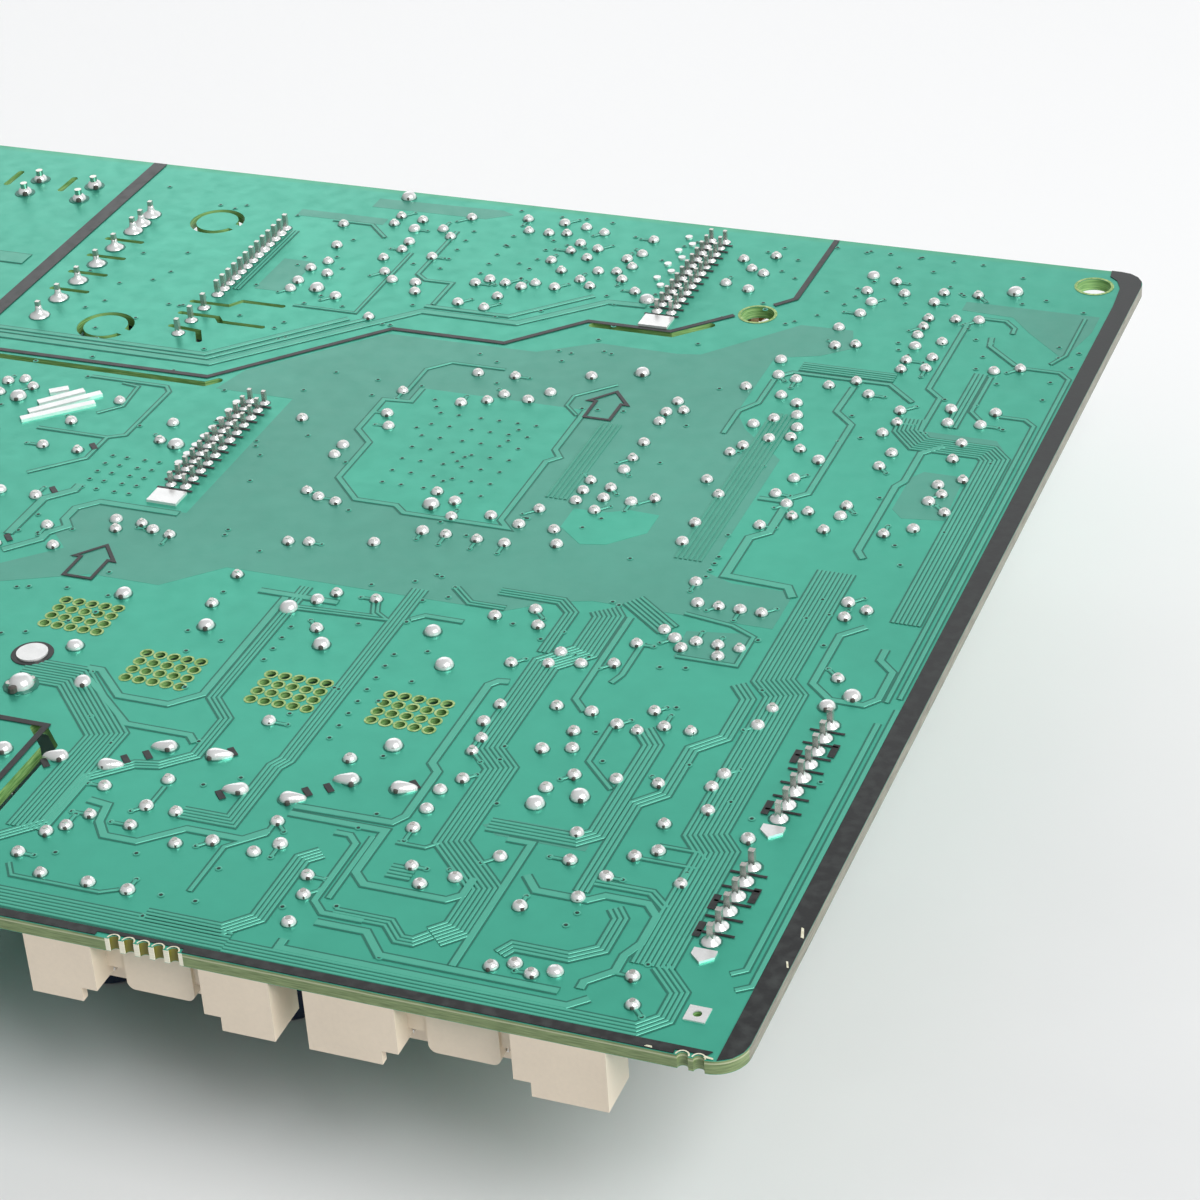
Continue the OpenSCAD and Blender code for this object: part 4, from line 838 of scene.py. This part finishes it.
def islands(node: str) -> tuple[np.ndarray, np.ndarray]:
    """Lowest and highest corners of each separate solid of a CAD node, in millimetres.

    Args:
        node: Name of the CAD node.

    Returns:
        Two arrays of shape (n, 3).
    """
    mesh = frame["nodes"][node].data
    points = np.empty(len(mesh.vertices) * 3)
    mesh.vertices.foreach_get("co", points)
    ends = np.empty(len(mesh.edges) * 2, int)
    mesh.edges.foreach_get("vertices", ends)
    spots, which = np.unique(np.round(points.reshape(-1, 3) / MM, 3), axis=0, return_inverse=True)
    ends = which.reshape(-1)[ends].reshape(-1, 2)
    label = np.arange(len(spots))
    while True:
        least = label.copy()
        np.minimum.at(least, ends[:, 0], label[ends[:, 1]])
        np.minimum.at(least, ends[:, 1], label[ends[:, 0]])
        least = least[least]
        if (least == label).all():
            break
        label = least
    names, group = np.unique(label, return_inverse=True)
    low = np.full((len(names), 3), np.inf)
    high = np.full((len(names), 3), -np.inf)
    np.minimum.at(low, group, spots)
    np.maximum.at(high, group, spots)
    return low, high


def seats(node: str) -> tuple[np.ndarray, np.ndarray]:
    """Where each solid of a CAD node meets the board's face, and how far it spreads.

    Args:
        node: Name of the CAD node.

    Returns:
        Places of shape (n, 3) and widths in x and y of shape (n, 2), in millimetres.
    """
    low, high = islands(node)
    middle = (low + high) / 2
    middle[:, 2] = DECK
    return middle, (high - low)[:, :2]


class BoardSkin:
    """What is printed and etched on the solder side."""

    def __init__(self, shop: PaintShop) -> None:
        self.shop = shop
        self.dice = np.random.default_rng(11)
        feet = [seats(node)[0] for node in ("solder_joints", "large_solder_joints", "pin_solder")]
        self.joints = np.concatenate(feet)
        self.small = len(feet[0])

    def build(self) -> None:
        """Makes the copper relief, the rims of holes, the vias and the silk."""
        self._fields()
        self._rims()
        self._tracks()
        self._vias()
        self._silk()

    def _fields(self) -> None:
        """Bare laminate under the mask, and the islands of copper in it."""
        for name, outlines, top, coat in (
            ("bare_fields", BARE_FIELDS, BARE_TOP, "bare_mask"),
            ("copper_islands", POURS, POUR_TOP, "copper_mask"),
        ):
            sheet = Sheet()
            for outline in outlines:
                slab(sheet, outline, DECK, top - DECK)
            sheet.build(name, self.shop.get(coat))

    def _rims(self) -> None:
        """Bare rims of holes, the shade in the vents, and white fibre at the half holes and scrapes."""
        vents = [
            [(left + across * VENT_PITCH, back + along * VENT_PITCH) for along in VENT_ROWS]
            for left, back in VENTS for across in VENT_COLUMNS
        ]
        rims, shade, frayed = Sheet(), Sheet(), Sheet()
        annulus(rims, on_board(vents, RIM_AT), 0.56, 0.82, 16)
        annulus(rims, on_board(MOUNT_HOLES, RIM_AT), 2.21, 2.6, 40)
        rims.build("bare_rims", self.shop.get("bare_rim"))
        annulus(shade, on_board([column[-1] for column in vents], SHADE_AT), 0.05, 0.69, 12)
        shade.build("vent_shade", self.shop.get("via_hole"))
        annulus(frayed, on_board(BITES, FRAY_AT), 0.56, 0.72, 16, math.pi)
        for scrape in SCUFFS:
            slab(frayed, scrape, SCRAPE_AT, 0.03)
        frayed.build("frayed_rims", self.shop.get("bare_fibre"))

    def _tracks(self) -> None:
        """Traces as low ridges, with a dark groove on each side."""
        grooves, ridges, faint = Sheet(), Sheet(), Sheet()
        for number, track in enumerate(TRACKS):
            line = on_board(track.path, TRACE_AT + number * TRACE_STEP)
            low = on_board(track.path, GROOVE_AT - number * GROOVE_STEP)
            span = track.lines * track.pitch
            for step in range(0 if track.faint else track.lines + 1):
                ridge(grooves, offset_line(low, step * track.pitch - span / 2), GROOVE + GROOVE_LAP, 0.0)
            for step in range(track.lines):
                middle = offset_line(line, (step + 0.5) * track.pitch - span / 2)
                ridge(faint if track.faint else ridges, middle, track.pitch - GROOVE, TRACE_RISE)
        self._stubs(grooves, ridges)
        grooves.build("grooves", self.shop.get("groove_and_shadow_mask"))
        ridges.build("traces", self.shop.get("trace_mask"))
        faint.build("faint_traces", self.shop.get("faint_mask"))

    def _stubs(self, grooves: Sheet, ridges: Sheet) -> None:
        """Short traces from some of the small joints to a via of their own."""
        feet = self.joints[: self.small]
        chosen = feet[self.dice.random(len(feet)) < STUB_SHARE]
        angle = self.dice.integers(0, 8, len(chosen)) * math.pi / 4
        reach = self.dice.uniform(*STUB_REACH, len(chosen))
        ends = chosen[:, :2] + np.stack([np.cos(angle), np.sin(angle)], axis=1) * reach[:, None]
        for foot, end in zip(chosen, ends):
            line = np.array([[foot[0], foot[1], VIA_AT], [end[0], end[1], VIA_AT]])
            for side in (-STUB_GROOVE_MID, STUB_GROOVE_MID):
                ridge(grooves, offset_line(line, side), STUB_GROOVE, 0.0)
            ridge(ridges, line, STUB_WIDTH, TRACE_RISE)
        self.stub_ends = ends

    def _vias(self) -> None:
        """Small plated holes: rows, single ones, some scattered ones and those at the ends of stubs."""
        rows = [np.linspace((u0, v0), (u1, v1), count) for u0, v0, u1, v1, count in VIA_ROWS]
        placed = on_board(np.concatenate([*rows, VIAS]))[:, :2]
        across = self.dice.uniform(-20, 120, SCATTERED_VIAS)
        along = self.dice.uniform(-80, 82, SCATTERED_VIAS)
        places = np.concatenate([placed, np.stack([across, along], axis=1)])
        gap = np.linalg.norm(places[:, None, :] - self.joints[None, :, :2], axis=2).min(axis=1)
        places = np.concatenate([places[gap > VIA_CLEARANCE], self.stub_ends])
        centres = np.concatenate([places, np.full((len(places), 1), VIA_AT)], axis=1)
        rims, holes = Sheet(), Sheet()
        revolve(rims, centres, (0.40, 0.34, 0.2), (0.0, 0.03, 0.03), 10)
        revolve(holes, centres, (0.22, 0.13), (0.035, 0.04), 8)
        rims.build("via_rims", self.shop.get("trace_mask"), True)
        holes.build("via_holes", self.shop.get("via_hole"))
        log.info("%d vias", len(places))

    def _silk(self) -> None:
        """Black lines, borders, bars between pins and one dot."""
        sheet = Sheet()
        for width, path in SILK_LINES:
            ridge(sheet, on_board(path, SILK_AT), width, SILK_RISE)
        for strip in (RIGHT_STRIP, *FRONT_STRIPS):
            slab(sheet, strip, LIP_AT, SILK_AT - DECK)
        for left, back in CAPACITOR_BARS:
            self._bar(sheet, (left + 0.6, back + 0.6), (left - 0.6, back - 0.6), 0.75)
        for left, back, count in WAFER_PINS:
            first = back + (count - 1) * WAFER_PITCH / 2
            for step in range(count - 1):
                middle = first - (step + 0.5) * WAFER_PITCH
                self._bar(sheet, (left - 2.0, middle), (left + 1.9, middle), 0.38)
            for side, step in ((-1.75, 1.8), (1.75, count - 1.6), (1.75, 2.6)):
                middle = first - step * WAFER_PITCH
                self._bar(sheet, (left + side, middle + 1.2), (left + side, middle - 1.2), 0.8)
        for left, back in HEADER_MIDS:
            for step in range(HEADER_ROWS):
                middle = back + (HEADER_ROWS / 2 - 1 - step) * HEADER_PITCH
                self._bar(sheet, (left - 2.4, middle), (left + 2.4, middle), 0.45)
        revolve(sheet, on_board((MARK_DOT,), VIA_AT), (2.45, 2.4, 2.05), (0.0, 0.05, 0.05), 36)
        sheet.build("silk", self.shop.get("silk_black"))

    @staticmethod
    def _bar(sheet: Sheet, start: Place, end: Place, width: float) -> None:
        """Adds one straight bar of ink."""
        ridge(sheet, on_board((start, end), SILK_AT), width, SILK_RISE)


# ---- solder


class Solder:
    """Joints that stand for the CAD fillets, with the small differences of a real solder wave."""

    DOME_R = (1.0, 1.0, 0.93, 0.78, 0.56, 0.28)
    DOME_H = (0.0, 0.18, 0.42, 0.63, 0.78, 0.86)
    CONE_R = (1.0, 0.97, 0.84, 0.58, 0.40, 0.32, 0.28)
    CONE_H = (0.0, 0.10, 0.22, 0.36, 0.58, 0.85, 1.10)
    # Rings of the dark band round each kind of joint, in radii, and their heights; the band is the gap in the
    # mask, drawn dark as painted shadow at the joint's foot.
    DOME_GAP = (0.93, 0.90, 0.7)
    CONE_GAP = (1.08, 1.04, 0.8)
    GAP_H = (0.0, 0.03, 0.04)
    # How much of the CAD fillet the tin covers, and the radius over which it is less.
    SPREAD = 0.80
    WIDE = 1.4
    # Where the dark notch of painted shade sits at the front foot of each lead joint, and how far a lead that
    # is bent flat draws its joint out, in radii.
    CUT_AT = (0.20, -0.60)
    BENT_PULL = (1.15, 0.30)

    def __init__(self, shop: PaintShop) -> None:
        self.shop = shop
        self.dice = np.random.default_rng(5)

    def build(self) -> None:
        """Makes the joints of leads and of pins, the dark bands round them (the gap in the mask, with painted
        shadow), and a notch of painted shade at the front of each lead joint.
        """
        rings, ends = Sheet(), Sheet()
        for node in ("solder_joints", "large_solder_joints"):
            self._domes(node, rings, ends)
        self._cones("pin_solder", rings)
        rings.build("joint_gap_shadows", self.shop.get("groove_and_shadow_mask"))
        ends.build("painted_notch_shade", self.shop.get("notch_shade_paint"))

    def _domes(self, node: str, rings: Sheet, ends: Sheet) -> None:
        """Rounded joints over cut leads, some drawn out along a lead that is bent flat."""
        middle, wide = seats(node)
        radius = wide[:, 0] / 2
        count = len(middle)
        lean = self.dice.normal(0, 0.06, (count, 2))
        spread = np.where(radius > self.WIDE, self.SPREAD * 0.8, self.SPREAD)
        size = radius * spread * self.dice.normal(1.0, 0.04, count)
        pull = np.zeros((count, 2))
        for left, back, way in CLINCHED:
            near = np.linalg.norm(middle[:, :2] - on_board((left, back))[0, :2], axis=1) < 1.6
            pull[near] = np.array(self.BENT_PULL) * way
            size[near] *= 0.9
        sheet = Sheet()
        revolve(sheet, middle, self.DOME_R, self.DOME_H, 14, size, lean, pull)
        # Dark pucks poking out at the front foot of each lead joint: painted shade, standing in for the dark
        # notch seen there.
        away = self.dice.normal(0, 0.12, (count, 2)) + self.CUT_AT
        notch_shade_at = middle + np.concatenate([away, np.full((count, 1), 0.10)], axis=1) * radius[:, None]
        revolve(ends, notch_shade_at, (0.24, 0.22, 0.10), (0.0, 0.24, 0.30), 8, radius)
        self._pour(sheet, node)
        self._ring(rings, middle, self.DOME_GAP, 14, radius)

    def _cones(self, node: str, rings: Sheet) -> None:
        """Pointed joints that climb up thick pins."""
        middle, wide = seats(node)
        radius = wide.max(axis=1) / 2
        sheet = Sheet()
        size = radius * self.dice.normal(0.92, 0.04, len(radius))
        revolve(sheet, middle, self.CONE_R, self.CONE_H, 12, size)
        self._pour(sheet, node)
        self._ring(rings, middle, self.CONE_GAP, 12, radius)

    def _pour(self, sheet: Sheet, node: str) -> None:
        """Makes the joints that stand for a CAD node's."""
        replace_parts(sheet.build(f"{node}_poured", self.shop.get("solder_tin"), True), node)

    def _ring(
        self, rings: Sheet, middle: np.ndarray, radii: Sequence[float], sides: int, radius: np.ndarray,
    ) -> None:
        """Adds the dark band round each joint: the gap between the joint and the mask, drawn dark as painted
        shadow at its foot.
        """
        revolve(rings, middle + (0, 0, RING_AT - DECK), radii, self.GAP_H, sides, radius)


# ---- whole scene


class Studio:
    """Floor, lights, world and camera."""

    CAMERA_MM = (203.63, -295.79, 218.84)
    CAMERA_TURN = (57.985, 3.163, 20.923)
    FOCAL_MM = 95.93
    KEY_AT = (1.90, -0.70, 2.00)
    KEY_SIZE = 2.2
    KEY_WATTS = 92.0
    ROOM = 0.30
    WALL = 1.30
    DIM = 0.28

    def __init__(self, shop: PaintShop) -> None:
        self.shop = shop

    def build(self) -> None:
        """Sets everything that isn't part of the object."""
        bpy.context.scene.view_settings.view_transform = "Standard"
        self._floor()
        self._world()
        self._key()
        self._camera()

    def _floor(self) -> None:
        mesh = bpy.data.meshes.new("floor")
        reach = 6.0
        corners = [(-reach, -reach, 0), (reach, -reach, 0), (reach, reach, 0), (-reach, reach, 0)]
        mesh.from_pydata(corners, [], [(0, 1, 2, 3)])
        mesh.materials.append(self.shop.get("studio_floor"))
        floor = bpy.data.objects.new("floor", mesh)
        bpy.context.scene.collection.objects.link(floor)

    def _world(self) -> None:
        """A dim room with a bright wall behind, as high as the board mirrors it, brightest to the left."""
        world = bpy.data.worlds.new("studio")
        world.use_nodes = True
        graph = Graph(world.node_tree)
        x, y, z = graph.axes(graph.node("ShaderNodeTexCoord", {}, "Generated"))
        wall = z.ramp(0.51, 0.59, self.WALL, 0.0) * x.ramp(-0.40, -0.10, 1.0, 0.45) * y.ramp(0.55, 0.75)
        light = wall + y.ramp(-0.6, 0.0, self.DIM, self.ROOM)
        background = world.node_tree.nodes["Background"]
        background.inputs["Color"].default_value = (0.97, 0.985, 1.0, 1.0)
        world.node_tree.links.new(light.out, background.inputs["Strength"])
        bpy.context.scene.world = world

    def _key(self) -> None:
        """One large soft light from the front right, turned to the middle of the board."""
        lamp = bpy.data.lights.new("key", "AREA")
        lamp.size = self.KEY_SIZE
        lamp.energy = self.KEY_WATTS
        lit = bpy.data.objects.new("key", lamp)
        lit.location = self.KEY_AT
        x, y, z = self.KEY_AT
        lit.rotation_euler = (math.atan2(math.hypot(x, y), z), 0.0, math.atan2(y, x) + math.pi / 2)
        bpy.context.scene.collection.objects.link(lit)

    def _camera(self) -> None:
        lens = bpy.data.cameras.new("camera")
        lens.lens = self.FOCAL_MM
        lens.sensor_width = 36.0
        lens.clip_start = 0.01
        camera = bpy.data.objects.new("camera", lens)
        camera.location = [part * MM for part in self.CAMERA_MM]
        camera.rotation_euler = [math.radians(part) for part in self.CAMERA_TURN]
        bpy.context.scene.collection.objects.link(camera)
        bpy.context.scene.camera = camera


class BoardScene:
    """The whole scene: CAD nodes with their materials, the pieces added here and the studio."""

    def __init__(self) -> None:
        self.shop = PaintShop()

    def build(self) -> None:
        """Builds everything in order."""
        self._paint_nodes()
        BoardSkin(self.shop).build()
        Solder(self.shop).build()
        Studio(self.shop).build()

    def _paint_nodes(self) -> None:
        for part in frame["record"]["subparts"]:
            node = frame["nodes"][part["node"]]
            node.data.materials.clear()
            node.data.materials.append(self.shop.get(part["material_slot"]))


def main() -> None:
    """Builds the scene."""
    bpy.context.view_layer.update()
    BoardScene().build()


if __name__ == "__main__":
    main()
